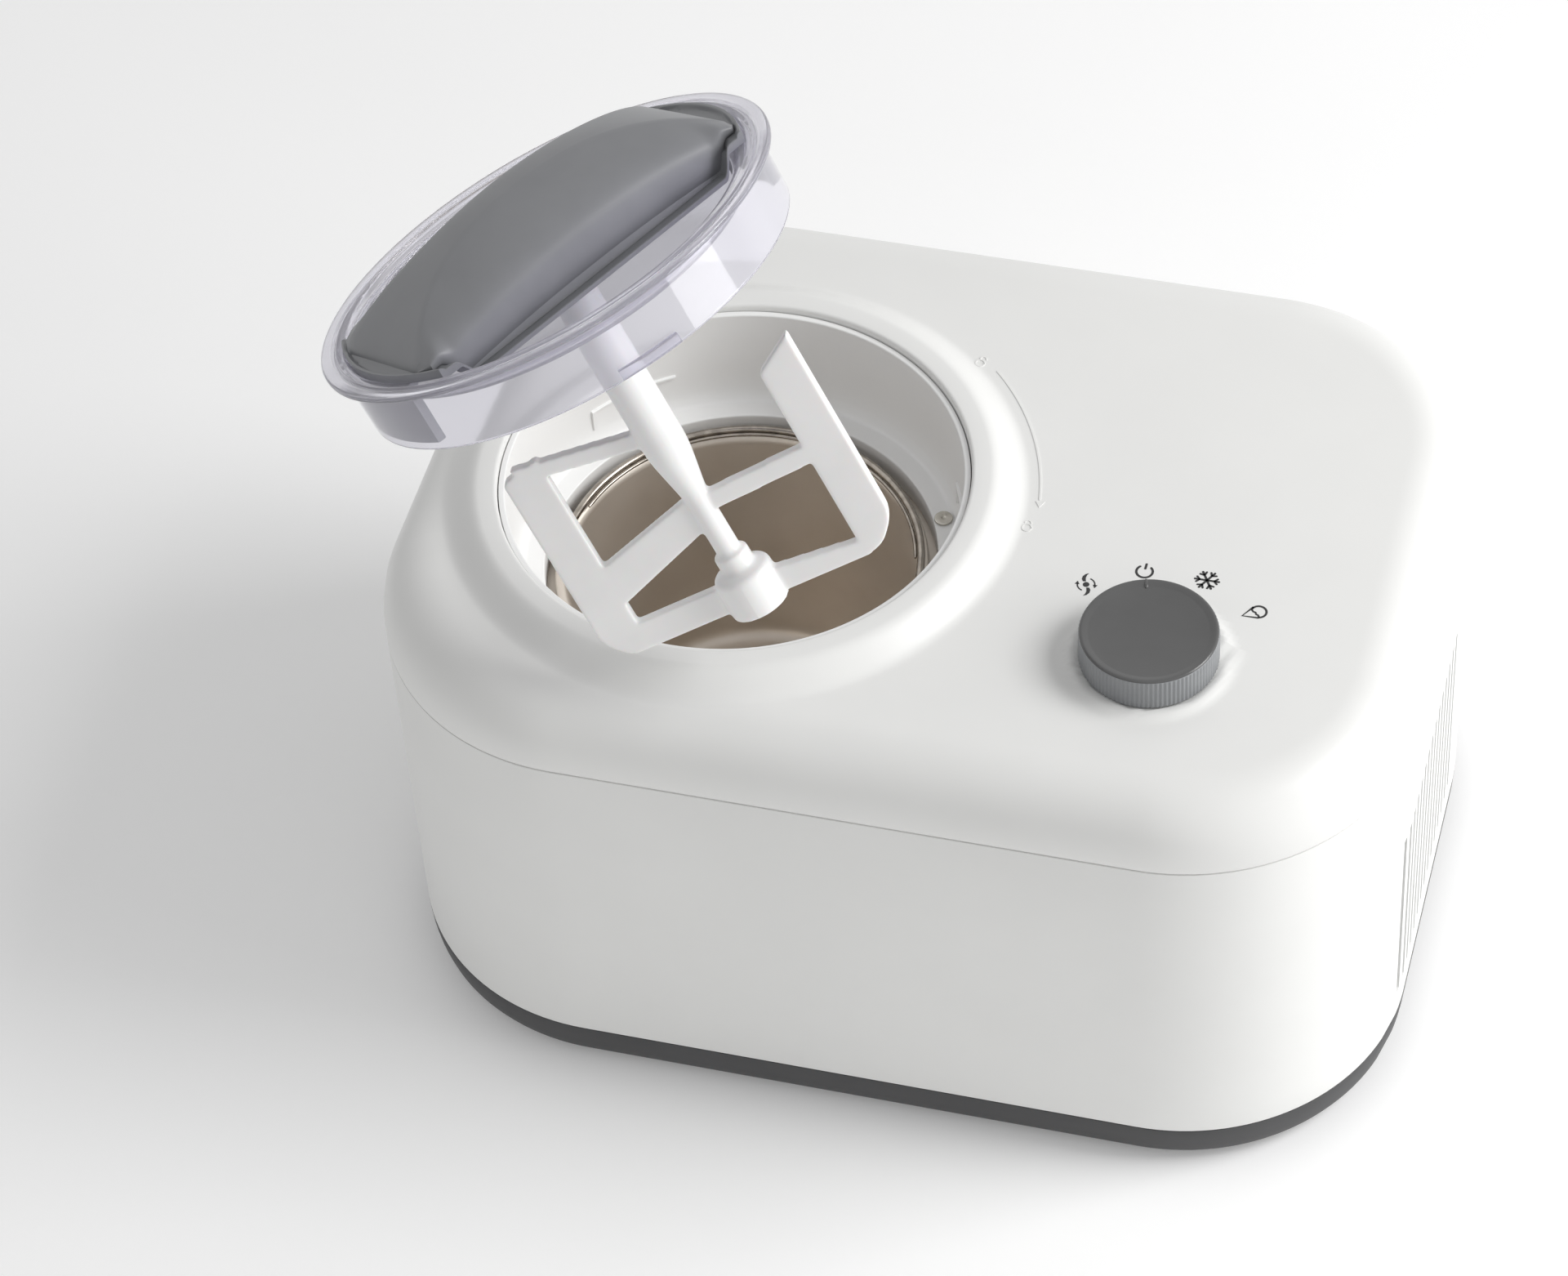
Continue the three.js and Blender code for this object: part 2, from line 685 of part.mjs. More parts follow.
function gearTrain() {
  const hexTop = BOWL_FLOOR_Z + TUBE_H;
  const shaft = cylinder(SPINDLE_R, GEARBOX_Z + GEARBOX_WALL + GAP, hexTop, 16);
  const hex = cylinder(SPINDLE_R, hexTop - 1, hexTop + HEX_H, 6);
  place('drive_spindle', 'steel', join(shaft, hex), bowlAxis);
  place('drive_gear', 'milky', gear(DRIVE_TEETH, TRAIN_ANGLE, true, SPINDLE_R + GAP), bowlAxis);
  const idler = gear(IDLER_TEETH, TRAIN_ANGLE + 180, false, IDLER_PIN_R + GAP);
  place('idler_gear', 'milky', idler).position.set(IDLER_X, IDLER_Y, 0);
  const pin = cylinder(IDLER_PIN_R, GEARBOX_Z + GEARBOX_WALL + GAP, GEARBOX_TOP - GAP, 12);
  place('idler_pin', 'steel', pin).position.set(IDLER_X, IDLER_Y, 0);
  const idlerToothAtMotor = IDLER_TEETH % 2 === 1;
  const pinion = gear(PINION_TEETH, TRAIN_ANGLE + 180, !idlerToothAtMotor, 0);
  const shaftUp = cylinder(MOTOR_SHAFT_R, GEAR_Z, GEARBOX_TOP + GEARBOX_WALL + MOTOR_SHAFT_UP, 12);
  place('motor_pinion', 'steel', join(pinion, shaftUp)).position.set(MOTOR_X, MOTOR_Y, 0);
}

function gearbox() {
  const room = 6;
  const circles = (r) => [
    [BOWL_X, BOWL_Y, driveR + r],
    [IDLER_X, IDLER_Y, idlerR + r],
    [MOTOR_X, MOTOR_Y, pinionR + r],
  ];
  const outer = polygon(hullOutline(circles(room)));
  const inner = polygon(hullOutline(circles(room - GEARBOX_WALL)));
  const tray = cut(
    extrude(outer, GEARBOX_Z, GEARBOX_TOP),
    extrude(inner, GEARBOX_Z + GEARBOX_WALL, GEARBOX_TOP + 1),
  );
  place('gearbox_housing', 'black', tray);
  const z0 = GEARBOX_TOP + GAP;
  const cover = cut(
    extrude(outer, z0, z0 + GEARBOX_WALL),
    cylinder(BUSHING_R + GAP, 0, 60, 20).translate(BOWL_X, BOWL_Y, 0),
    cylinder(MOTOR_SHAFT_R + RUN, 0, 60, 16).translate(MOTOR_X, MOTOR_Y, 0),
  );
  place('gearbox_cover', 'black', cover);
  const bushing = ring(SPINDLE_R + GAP, BUSHING_R, z0 - 1.5, z0 + GEARBOX_WALL + 5, 20);
  place('spindle_bushing', 'copper', bushing, bowlAxis);
}

function motor() {
  const z0 = GEARBOX_TOP + GEARBOX_WALL + 2 * GAP;
  const can = revolve(
    [[0, z0], [MOTOR_R, z0], [MOTOR_R, z0 + MOTOR_H - 3], [MOTOR_R - 3, z0 + MOTOR_H], [0, z0 + MOTOR_H]],
    24,
  );
  const bore = cylinder(MOTOR_SHAFT_R + RUN, z0 - 1, GEARBOX_TOP + GEARBOX_WALL + MOTOR_SHAFT_UP + 1, 12);
  place('motor_can', 'steel', cut(can, bore)).position.set(MOTOR_X, MOTOR_Y, 0);
}

// ---- refrigeration and electrics -----------------------------------------------------------

const GROMMETS = [['front', -90], ['left', 150], ['right', 30]];

function compressor() {
  const top = COMP_Z + COMP_H;
  const can = revolve(
    [
      [0, COMP_Z],
      [COMP_R - 14, COMP_Z],
      [COMP_R - 3, COMP_Z + 9],
      [COMP_R, COMP_Z + 24],
      [COMP_R, top - 30],
      [COMP_R - 8, top - 10],
      [COMP_R - 24, top],
      [0, top],
    ],
    28,
  );
  place('compressor', 'black', can).position.set(COMP_X, COMP_Y, 0);
  const plateZ = COMP_Z - 4;
  const circles = GROMMETS.map(([, angle]) => [
    (COMP_R - 2) * Math.cos(rad(angle)),
    (COMP_R - 2) * Math.sin(rad(angle)),
    GROMMET_R + 3,
  ]);
  const holes = circles.map(([x, y]) => cylinder(GROMMET_STEM_R + GAP, 0, 40, 12).translate(x, y, 0));
  const plate = cut(extrude(polygon(hullOutline(circles)), plateZ, COMP_Z - GAP), ...holes);
  place('compressor_plate', 'steel', plate).position.set(COMP_X, COMP_Y, 0);
  GROMMETS.forEach(([where], i) => {
    const grommet = revolve(
      [
        [0, PAN_FLOOR + GAP],
        [GROMMET_R, PAN_FLOOR + GAP],
        [GROMMET_R, plateZ - GAP],
        [GROMMET_STEM_R, plateZ - GAP],
        [GROMMET_STEM_R, COMP_Z - 2],
        [0, COMP_Z - 2],
      ],
      10,
    );
    const [x, y] = circles[i];
    place(`compressor_grommet_${where}`, 'rubber', grommet).position.set(COMP_X + x, COMP_Y + y, 0);
  });
}

const COND_X1 = WIDTH / 2 - WALL - COND_GAP;
const COND_X0 = COND_X1 - COND_T;
const SHROUD_X1 = COND_X0 - 2;
const SHROUD_X0 = SHROUD_X1 - FAN_T - 4;

// Finned condenser: a comb of fins on one tube plate.
function condenser() {
  const pitch = FAN_SIZE / FIN_COUNT;
  const outline = [[0, 0], [FAN_SIZE, 0]];
  for (let i = FIN_COUNT - 1; i >= 0; i -= 1) {
    const a = i * pitch;
    const b = a + pitch * 0.35;
    outline.push([b, COND_T], [a, COND_T]);
    if (i > 0) outline.push([a, 4], [a - pitch * 0.65, 4]);
  }
  outline[1] = [(FIN_COUNT - 1) * pitch + pitch * 0.35, 0];
  const comb = extrude(polygon(outline), 0, FAN_SIZE).rotateZ(Math.PI / 2);
  place('condenser', 'aluminium', comb).position.set(COND_X1, FAN_Y - FAN_SIZE / 2, FAN_Z - FAN_SIZE / 2);
}

function fan() {
  const half = FAN_SIZE / 2;
  const frame = cut(
    box(SHROUD_X0, SHROUD_X1, FAN_Y - half, FAN_Y + half, FAN_Z - half, FAN_Z + half),
    cylinder(FAN_R + 2, -200, 300, 28).rotateY(Math.PI / 2).translate(0, FAN_Y, FAN_Z),
  );
  const strut = box(SHROUD_X0, SHROUD_X0 + 2, FAN_Y - half + 1, FAN_Y + half - 1, FAN_Z - 5, FAN_Z + 5);
  place('fan_shroud', 'black', join(frame, strut));
  const hub = cylinder(14, -FAN_T / 2, FAN_T / 2, 16);
  const blades = [];
  for (let i = 0; i < 7; i += 1) {
    const blade = box(10, FAN_R, -1, 1, -FAN_T / 2 - 1, FAN_T / 2 + 1);
    blade.rotateX(rad(38)).rotateZ((i / 7) * Math.PI * 2);
    blades.push(blade);
  }
  const rotor = join(hub, ...blades).rotateY(Math.PI / 2);
  place('fan_rotor', 'black', rotor).position.set(SHROUD_X1 - FAN_T / 2 - 0.5, FAN_Y, FAN_Z);
}

function refrigerantLines() {
  const v = (x, y, z) => new THREE.Vector3(x, y, z);
  const top = COMP_Z + COMP_H;
  const condZ = FAN_Z + FAN_SIZE / 2;
  const condX = (COND_X0 + COND_X1) / 2;
  const discharge = [
    v(COMP_X + 15, COMP_Y, top + GAP),
    v(COMP_X + 15, COMP_Y, top + 14),
    v(COMP_X + 40, COMP_Y - 24, top + 18),
    v(condX, FAN_Y + 20, condZ + 20),
    v(condX, FAN_Y + 20, condZ + GAP),
  ];
  place('discharge_tube', 'copper', tube(discharge, DISCHARGE_R, 24, 6));
  const suction = [
    v(COMP_X - 12, COMP_Y, top + GAP),
    v(COMP_X - 12, COMP_Y, top + 16),
    v(COMP_X - 40, COMP_Y + 14, top + 26),
    v(COMP_X - 75, COMP_Y + 40, top + 10),
    v(BOWL_X + 84, COMP_Y + 45, top - 20),
    v(BOWL_X + 84, COMP_Y + 45, top - 50),
  ];
  place('suction_tube', 'copper', tube(suction, SUCTION_R, 30, 6));
  const neck = 7;
  const drier = revolve(
    [[0, 0], [4, 0], [DRIER_R, neck], [DRIER_R, DRIER_H - neck], [4, DRIER_H], [0, DRIER_H]],
    16,
  );
  place('filter_drier', 'copper', drier).position.set(...DRIER_PLACE);
  const capacitor = cylinder(CAPACITOR_R, 0, CAPACITOR_H, 20);
  place('run_capacitor', 'milky', capacitor).position.set(...CAPACITOR_PLACE, PAN_FLOOR + GAP);
}

function controls() {
  const boardZ = TOP_Z - WALL - 30;
  const board = box(-BOARD_L / 2, BOARD_L / 2, -BOARD_W / 2, BOARD_W / 2, boardZ, boardZ + 1.6);
  place('control_board', 'board', board).position.set(KNOB_X, KNOB_Y, 0);
  const z0 = boardZ + 1.6 + GAP;
  const half = SWITCH_SIZE / 2;
  const body = cut(
    box(-half, half, -half, half, z0, z0 + SWITCH_H),
    cylinder(SHAFT_R + RUN, z0 + 3, z0 + SWITCH_H + 1, 12),
  );
  place('rotary_switch', 'black', body).position.set(KNOB_X, KNOB_Y, 0);
  const knobZ = TOP_Z + KNOB_LIFT;
  const shaft = cylinder(SHAFT_R, z0 + 3 + GAP, knobZ + KNOB_H - 4, 12);
  place('switch_shaft', 'steel', shaft).position.set(KNOB_X, KNOB_Y, 0);
  const knob = revolve(
    [
      [SHAFT_R + GAP, knobZ],
      [KNOB_R - 0.6, knobZ],
      [KNOB_R, knobZ + 1],
      [KNOB_R, knobZ + KNOB_H - 1.6],
      [KNOB_R - 1, knobZ + KNOB_H],
      [KNOB_R - 4, knobZ + KNOB_H - 1],
      [0, knobZ + KNOB_H - 1.4],
      [0, knobZ + KNOB_H - 3.6],
      [SHAFT_R + GAP, knobZ + KNOB_H - 3.6],
    ],
    36,
    true,
  );
  place('knob', 'grey', knob).position.set(KNOB_X, KNOB_Y, 0);
}

// ---- lid and paddle, held above the bowl ---------------------------------------------------

const lidFrame = new THREE.Group();
lidFrame.position.copy(LID_POS);
lidFrame.rotation.order = 'ZYX';
lidFrame.rotation.set(0, rad(-LID_TILT), rad(LID_LEAN));
model.add(lidFrame);

function lidCover() {
  const plate = revolve(
    [
      [LID_HOLE_R, -4.6],
      [LID_HOLE_R, -LID_T],
      [SKIRT_R - 3, -LID_T],
      [SKIRT_R - 0.5, -0.4],
      [SKIRT_R + 1.5, 0],
      [LID_R - 0.6, 0],
      [LID_R, -0.7],
      [LID_R, -LID_T],
      [SKIRT_R + 0.6, -LID_T - 0.4],
      [SKIRT_R, -SKIRT_H],
      [SKIRT_R - SKIRT_T, -SKIRT_H],
      [SKIRT_R - SKIRT_T + 0.6, -4.6],
    ],
    32,
    true,
  );
  const lugs = [];
  for (let i = 0; i < LUG_COUNT; i += 1) {
    const lug = new THREE.Shape();
    const middle = rad(LUG_TURN + (360 * i) / LUG_COUNT);
    lug.absarc(0, 0, SKIRT_R + 2.6, middle - rad(LUG_ARC / 2), middle + rad(LUG_ARC / 2), false);
    lug.absarc(0, 0, SKIRT_R - 1, middle + rad(LUG_ARC / 2), middle - rad(LUG_ARC / 2), true);
    lugs.push(extrude(lug, -SKIRT_H + 1, -SKIRT_H + 5, 3));
  }
  place('lid_cover', 'clear', join(plate, ...lugs), lidFrame);
}

// A swelling over the plate, shrunk by an inset all round: wide at its foot, narrow at its crest.
function swelling(inset, z0, z1) {
  const points = [];
  for (let i = 0; i <= FIN_LEVELS; i += 1) {
    const t = (i / FIN_LEVELS) * (Math.PI / 2);
    const halfL = CREST_HALF_L - inset + (FIN_HALF_L - CREST_HALF_L) * Math.cos(t);
    const halfW = CREST_HALF_W - inset + (FIN_HALF_W - CREST_HALF_W) * Math.cos(t);
    const z = z0 + (z1 - z0) * Math.sin(t);
    for (let k = 0; k < FIN_STEPS; k += 1) {
      const a = (k / FIN_STEPS) * Math.PI * 2;
      points.push([halfL * Math.cos(a), halfW * Math.sin(a), z]);
    }
  }
  return toGeometry(wasm.Manifold.hull(points));
}

// A round plate cut off along two chords, with a broad hollow fin swelling up along its diameter.
function lidHandle() {
  const z0 = -LID_T + GAP;
  const plateShape = new THREE.Shape();
  const open = Math.asin(HANDLE_HALF / HANDLE_R);
  plateShape.absarc(0, 0, HANDLE_R, -open, open, false);
  plateShape.absarc(0, 0, HANDLE_R, Math.PI - open, Math.PI + open, false);
  const plate = extrude(plateShape, z0, z0 + HANDLE_PLATE, 12);
  const crest = z0 + HANDLE_PLATE + FIN_H;
  const solid = join(plate, swelling(0, z0 + HANDLE_PLATE / 2, crest));
  const handle = cut(solid, swelling(FIN_WALL, z0 - 1, crest - FIN_WALL)).rotateZ(rad(HANDLE_TURN));
  place('lid_handle', 'grey', handle, lidFrame);
  for (const [side, s] of [['left', 1], ['right', 0]]) {
    const tab = new THREE.Shape();
    const r1 = SKIRT_R - SKIRT_T - 1;
    tab.absarc(0, 0, r1, -rad(TAB_ARC / 2), rad(TAB_ARC / 2), false);
    tab.absarc(0, 0, r1 - 4, rad(TAB_ARC / 2), -rad(TAB_ARC / 2), true);
    const geometry = extrude(tab, -SKIRT_H + 2, -4.6 - GAP, 8).rotateZ(rad(HANDLE_TURN) + s * Math.PI);
    place(`lid_tab_${side}`, 'grey', geometry, lidFrame);
  }
}

function lidBush() {
  const z1 = -4.6 - GAP;
  place('lid_bush', 'milky', ring(6 + GAP + 0.2, BUSH_R, z1 - BUSH_H, z1, 24), lidFrame);
}

function lidMagnet() {
  const magnet = cylinder(4, -SKIRT_H + 10, -SKIRT_H + 14, 12);
  const r = SKIRT_R - SKIRT_T - 6;
  const t = rad(HANDLE_TURN + 90);
  place('lid_magnet', 'steel', magnet, lidFrame).position.set(r * Math.cos(t), r * Math.sin(t), 0);
}

// A flat bar of the paddle between points given as [distance from the axis, depth below the lid].
function bar(points) {
  return extrude(polygon(points.map(([u, v]) => [u, -v])), -BLADE_T / 2, BLADE_T / 2).rotateX(Math.PI / 2);
}

function paddle() {
  const bushEnd = 4.6 + GAP + BUSH_H;
  const inner = PADDLE_R - BLADE_W;
  const foot = PADDLE_L - 2;
  const windowFoot = PADDLE_L - 14;
  const mid = 119;
  const hubTop = PADDLE_L - HUB_H;
  const shaft = revolve(
    [
      [0, -bushEnd + BUSH_H - 2],
      [6, -bushEnd + BUSH_H - 2],
      [6, -bushEnd - GAP],
      [PADDLE_SHAFT_R, -bushEnd - 1],
      [PADDLE_SHAFT_R, -97],
      [PADDLE_NECK_R, -mid],
      [PADDLE_NECK_R, -hubTop],
      [7, -hubTop],
      [7, -hubTop - 7],
      [HUB_R, -hubTop - 10],
      [HUB_R, -PADDLE_L],
      [0, -PADDLE_L],
    ].reverse(),
    20,
  );
  const left = bar([[-PADDLE_R, BLADE_TOP + 4], [-inner, BLADE_TOP], [-inner, foot],
    [-PADDLE_R + 7, foot], [-PADDLE_R, foot - 8]]);
  const right = bar([[PADDLE_R, BLADE_TOP - 6], [PADDLE_R, foot - 12], [PADDLE_R - 9, foot - 2],
    [inner, foot], [inner, BLADE_TOP + 5]]);
  const topBar = bar([[-PADDLE_R + 4, BLADE_TOP], [-4, BLADE_TOP + 7], [-4, BLADE_TOP + 14],
    [-inner - 2, BLADE_TOP + 8]]);
  const midBar = bar([[0, mid], [inner + 2, mid - 2], [inner + 2, mid + 6], [0, mid + 8]]);
  const slant = bar([[0, mid - 2], [0, mid + 13], [-inner - 1, mid + 30], [-inner - 1, mid + 12]]);
  const footLeft = bar([[0, windowFoot], [0, foot], [-inner - 2, foot], [-inner - 2, windowFoot]]);
  const footRight = bar([[0, windowFoot], [inner + 2, windowFoot + 5], [inner + 2, foot], [0, foot]]);
  const whole = join(shaft, left, right, topBar, midBar, slant, footLeft, footRight);
  const socket = cylinder(TUBE_R + BOWL_WALL + 1, -PADDLE_L - 1, -PADDLE_L + TUBE_H + 1, 20);
  const hex = cylinder(SPINDLE_R + RUN, -PADDLE_L, -PADDLE_L + TUBE_H + 10, 6);
  place('paddle', 'milky', cut(whole, socket, hex).rotateZ(rad(PADDLE_TURN)), lidFrame);
}

basePan();
feetAndScrews();
bodyShell();
cordGland();
topCover();
collarLiner();
lidSensor();
coolingWell();
evaporatorCoil();
insulationJacket();
shaftSeal();
bowl();
bowlBrackets();
bowlHandle();
gearTrain();
gearbox();
motor();
compressor();
condenser();
fan();
refrigerantLines();
controls();
lidCover();
lidHandle();
lidBush();
lidMagnet();
paddle();

export default model;
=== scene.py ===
# Self-cooling ice cream maker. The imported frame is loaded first, then each piece gets its mesh and material.
# Metres, +Z up, +X to the user's right, +Y to the back. The origin is the centre of the base pan's underside.
import json
import math

import bmesh
import bpy
from mathutils import Matrix, Vector


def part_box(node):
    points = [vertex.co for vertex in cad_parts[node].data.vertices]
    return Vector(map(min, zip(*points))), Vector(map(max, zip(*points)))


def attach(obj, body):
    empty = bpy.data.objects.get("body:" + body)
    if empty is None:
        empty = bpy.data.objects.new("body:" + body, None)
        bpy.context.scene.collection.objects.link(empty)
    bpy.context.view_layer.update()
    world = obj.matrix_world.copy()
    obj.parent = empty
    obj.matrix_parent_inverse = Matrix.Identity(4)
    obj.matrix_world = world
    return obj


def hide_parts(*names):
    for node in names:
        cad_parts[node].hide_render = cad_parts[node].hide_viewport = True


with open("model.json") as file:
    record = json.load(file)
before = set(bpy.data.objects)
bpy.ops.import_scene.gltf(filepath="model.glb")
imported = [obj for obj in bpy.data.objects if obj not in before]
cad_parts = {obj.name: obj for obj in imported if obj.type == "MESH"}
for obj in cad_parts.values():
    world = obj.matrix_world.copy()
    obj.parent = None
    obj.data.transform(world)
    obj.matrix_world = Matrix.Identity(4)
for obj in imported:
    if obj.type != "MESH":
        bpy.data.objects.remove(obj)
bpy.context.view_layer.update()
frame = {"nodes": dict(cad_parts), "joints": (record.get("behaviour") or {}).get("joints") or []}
mm = 0.001

# ---- Camera ------------------------------------------------------------------------------------------
# A long lens from high at the front, a little to the right, with the horizon rolled by four degrees.
camera_place = Vector((388.7, -1382.6, 1712.8)) * mm
camera_azimuth, camera_elevation, camera_roll = math.radians(17.83), math.radians(47.84), math.radians(-4.24)
aim = Vector((
    -math.sin(camera_azimuth) * math.cos(camera_elevation),
    math.cos(camera_azimuth) * math.cos(camera_elevation),
    -math.sin(camera_elevation),
))
camera_data = bpy.data.cameras.new("camera")
camera_data.sensor_width = 36
camera_data.lens = 118.68
camera_data.shift_x = -0.0147
camera_data.shift_y = 0.0030
camera_data.clip_end = 20
camera = bpy.data.objects.new("camera", camera_data)
turn = aim.to_track_quat("-Z", "Y").to_matrix().to_4x4() @ Matrix.Rotation(camera_roll, 4, "Z")
camera.matrix_world = Matrix.Translation(camera_place) @ turn
bpy.context.scene.collection.objects.link(camera)
bpy.context.scene.camera = camera

# ---- Body shell --------------------------------------------------------------------------------------
# The white moulded wall of the cabinet: straight sides, big round corners, and a row of upright cooling
# louvres cut through each end wall. ABS with a satin skin, screwed to the pan from below.
cabinet_w, cabinet_d, corner_r = 420, 302, 93
wall = 2.5
pan_top, seam_z, seam_gap = 19, 182.5, 0.3
louvre_count, louvre_pitch, louvre_w, louvre_bevel = 15, 8, 3, 0.35
louvre_y, louvre_z = -14, (34, 130)
front_steps, rear_steps, long_steps = 26, 30, 40


def linear(colour):
    """A hex colour such as "e8e8e6" as the linear numbers that a shader takes."""
    parts = [int(colour[i:i + 2], 16) / 255 for i in (0, 2, 4)]
    return tuple(p / 12.92 if p <= 0.04045 else ((p + 0.055) / 1.055) ** 2.4 for p in parts) + (1.0,)


def add(material, kind, settings=None, **links):
    """Adds a node, sets its sockets and properties, and links the named inputs."""
    node = material.node_tree.nodes.new(kind)
    for name, value in (settings or {}).items():
        if name.replace("_", " ") in node.inputs:
            node.inputs[name.replace("_", " ")].default_value = value
        else:
            setattr(node, name, value)
    for name, source in links.items():
        material.node_tree.links.new(source, node.inputs[name.replace("_", " ")])
    return node


def empty_material(name):
    material = bpy.data.materials.new(name)
    material.use_nodes = True
    material.node_tree.nodes.clear()
    return material


def finish_material(material, surface):
    output = add(material, "ShaderNodeOutputMaterial")
    material.node_tree.links.new(surface, output.inputs["Surface"])
    return material


def shaded(material, colours, blotch, rough, grain, lift, stretch=(1, 1, 1), **sockets):
    """A Principled surface: two close colours in soft blotches, uneven gloss and a fine grain in relief.

    Blotch and grain are lengths in millimetres, rough is the range of roughness and lift is the grain's
    height in millimetres.
    """
    place = add(material, "ShaderNodeTexCoord").outputs["Object"]
    drawn = add(material, "ShaderNodeMapping", {"Scale": stretch}, Vector=place).outputs["Vector"]
    broad = add(material, "ShaderNodeTexNoise", {"Scale": 1 / (blotch * mm), "Detail": 3}, Vector=drawn)
    fine = add(material, "ShaderNodeTexNoise", {"Scale": 1 / (grain * mm), "Detail": 2}, Vector=drawn)
    ramp = add(material, "ShaderNodeValToRGB", Fac=broad.outputs["Fac"])
    ramp.color_ramp.elements[0].position = 0.35
    ramp.color_ramp.elements[1].position = 0.65
    ramp.color_ramp.elements[0].color = linear(colours[0])
    ramp.color_ramp.elements[1].color = linear(colours[1])
    gloss = add(
        material, "ShaderNodeMapRange", {"To Min": rough[0], "To Max": rough[1]}, Value=broad.outputs["Fac"]
    )
    relief = add(
        material, "ShaderNodeBump", {"Strength": 0.6, "Distance": lift * mm}, Height=fine.outputs["Fac"]
    )
    surface = add(
        material, "ShaderNodeBsdfPrincipled", sockets, Base_Color=ramp.outputs["Color"],
        Roughness=gloss.outputs["Result"], Normal=relief.outputs["Normal"],
    )
    return surface.outputs["BSDF"]


def solid_material(name, colours, blotch, rough, grain, lift, **more):
    material = empty_material(name)
    return finish_material(material, shaded(material, colours, blotch, rough, grain, lift, **more))


def mesh_piece(name, points, faces, material, sharp=40):
    """One object from points in millimetres, smooth except over edges sharper than `sharp` degrees."""
    mesh = bpy.data.meshes.new(name)
    mesh.from_pydata([Vector(p) * mm for p in points], [], faces)
    mesh.validate()
    shape = bmesh.new()
    shape.from_mesh(mesh)
    bmesh.ops.recalc_face_normals(shape, faces=shape.faces)
    shape.to_mesh(mesh)
    shape.free()
    mesh.shade_smooth()
    mesh.set_sharp_from_angle(angle=math.radians(sharp))
    mesh.materials.append(material)
    piece = bpy.data.objects.new(name, mesh)
    bpy.context.scene.collection.objects.link(piece)
    return piece


def skin(rings, ends=(False, False), loop=False):
    """Points and faces of a skin through rings of equal length; `loop` joins the last ring to the first."""
    count = len(rings[0])
    points = [p for ring in rings for p in ring]
    faces = []
    for k in range(len(rings) if loop else len(rings) - 1):
        a, b = k * count, ((k + 1) % len(rings)) * count
        for i in range(count):
            j = (i + 1) % count
            faces.append((a + i, a + j, b + j, b + i))
    if ends[0]:
        faces.append(tuple(reversed(range(count))))
    if ends[1]:
        faces.append(tuple(range(len(points) - count, len(points))))
    return points, faces


# Satin ABS: a soft broad sheen with no sharp image in it.
white_abs = solid_material("satin_white_abs", ("ebebe9", "ededeb"), 60, (0.33, 0.39), 0.7, 0.006)


def outline():
    """The cabinet's outline from its front right corner round: (x, y, inward normal, in a slot)."""
    cx, cy = cabinet_w / 2 - corner_r, cabinet_d / 2 - corner_r
    first, last = -85, cy + 2
    edges = {first, last}
    slots = set()
    for i in range(louvre_count):
        middle = louvre_y + (i - (louvre_count - 1) / 2) * louvre_pitch
        half = louvre_w / 2
        edges |= {middle - half - louvre_bevel, middle + half + louvre_bevel}
        slots |= {middle - half, middle + half}
    right = []
    low = math.asin((first + cy) / corner_r)
    for i in range(front_steps):
        t = -math.pi / 2 + (low + math.pi / 2) * i / front_steps
        right.append((cx + corner_r * math.cos(t), -cy + corner_r * math.sin(t), t, False))
    for y in sorted(edges | slots):
        t = math.asin((y + cy) / corner_r) if y < -cy else math.asin((y - cy) / corner_r) if y > cy else 0
        right.append((cx + corner_r * math.cos(t), y, t, y in slots))
    high = math.asin((last - cy) / corner_r)
    for i in range(1, rear_steps + 1):
        t = high + (math.pi / 2 - high) * i / rear_steps
        right.append((cx + corner_r * math.cos(t), cy + corner_r * math.sin(t), t, False))
    shares = [i / long_steps for i in range(1, long_steps)]
    back = [(cx - 2 * cx * share, cabinet_d / 2, math.pi / 2, False) for share in shares]
    left = [(-x, y, math.pi - t, slot) for x, y, t, slot in reversed(right)]
    front = [(-cx + 2 * cx * share, -cabinet_d / 2, -math.pi / 2, False) for share in shares]
    return [(x, y, (-math.cos(t), -math.sin(t)), slot) for x, y, t, slot in right + back + left + front]


cabinet_outline = outline()


def outline_ring(inset, z):
    return [(x + n[0] * inset, y + n[1] * inset, z) for x, y, n, slot in cabinet_outline]


def body_shell():
    z0, z1 = pan_top + seam_gap, seam_z - seam_gap
    levels = [(wall, z0), (0.5, z0), (0.12, z0 + 0.15), (0, z0 + 0.6)]
    cut_low, cut_high = louvre_z
    levels += [(0, cut_low - louvre_bevel), (0, cut_low), (0, cut_high), (0, cut_high + louvre_bevel)]
    levels += [(0, z1 - 0.6), (0.12, z1 - 0.15), (0.5, z1), (wall, z1)]
    rings = []
    for inset, z in levels:
        ring = []
        for x, y, n, slot in cabinet_outline:
            deep = wall if slot and cut_low <= z <= cut_high else inset
            ring.append((x + n[0] * deep, y + n[1] * deep, z))
        rings.append(ring)
    points, faces = skin(rings)
    count = len(cabinet_outline)
    low_row = [k for k, level in enumerate(levels) if level[1] == cut_low][0]
    open_faces = []
    for face in faces:
        row, column = divmod(face[0], count)
        here, after = cabinet_outline[column], cabinet_outline[(column + 1) % count]
        narrow = math.dist(here[:2], after[:2]) < louvre_w + 0.5
        if not (row == low_row and here[3] and after[3] and narrow):
            open_faces.append(face)
    piece = mesh_piece("shell_wall", points, open_faces, white_abs, sharp=35)
    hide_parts("body_shell")
    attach(piece, "base")


body_shell()

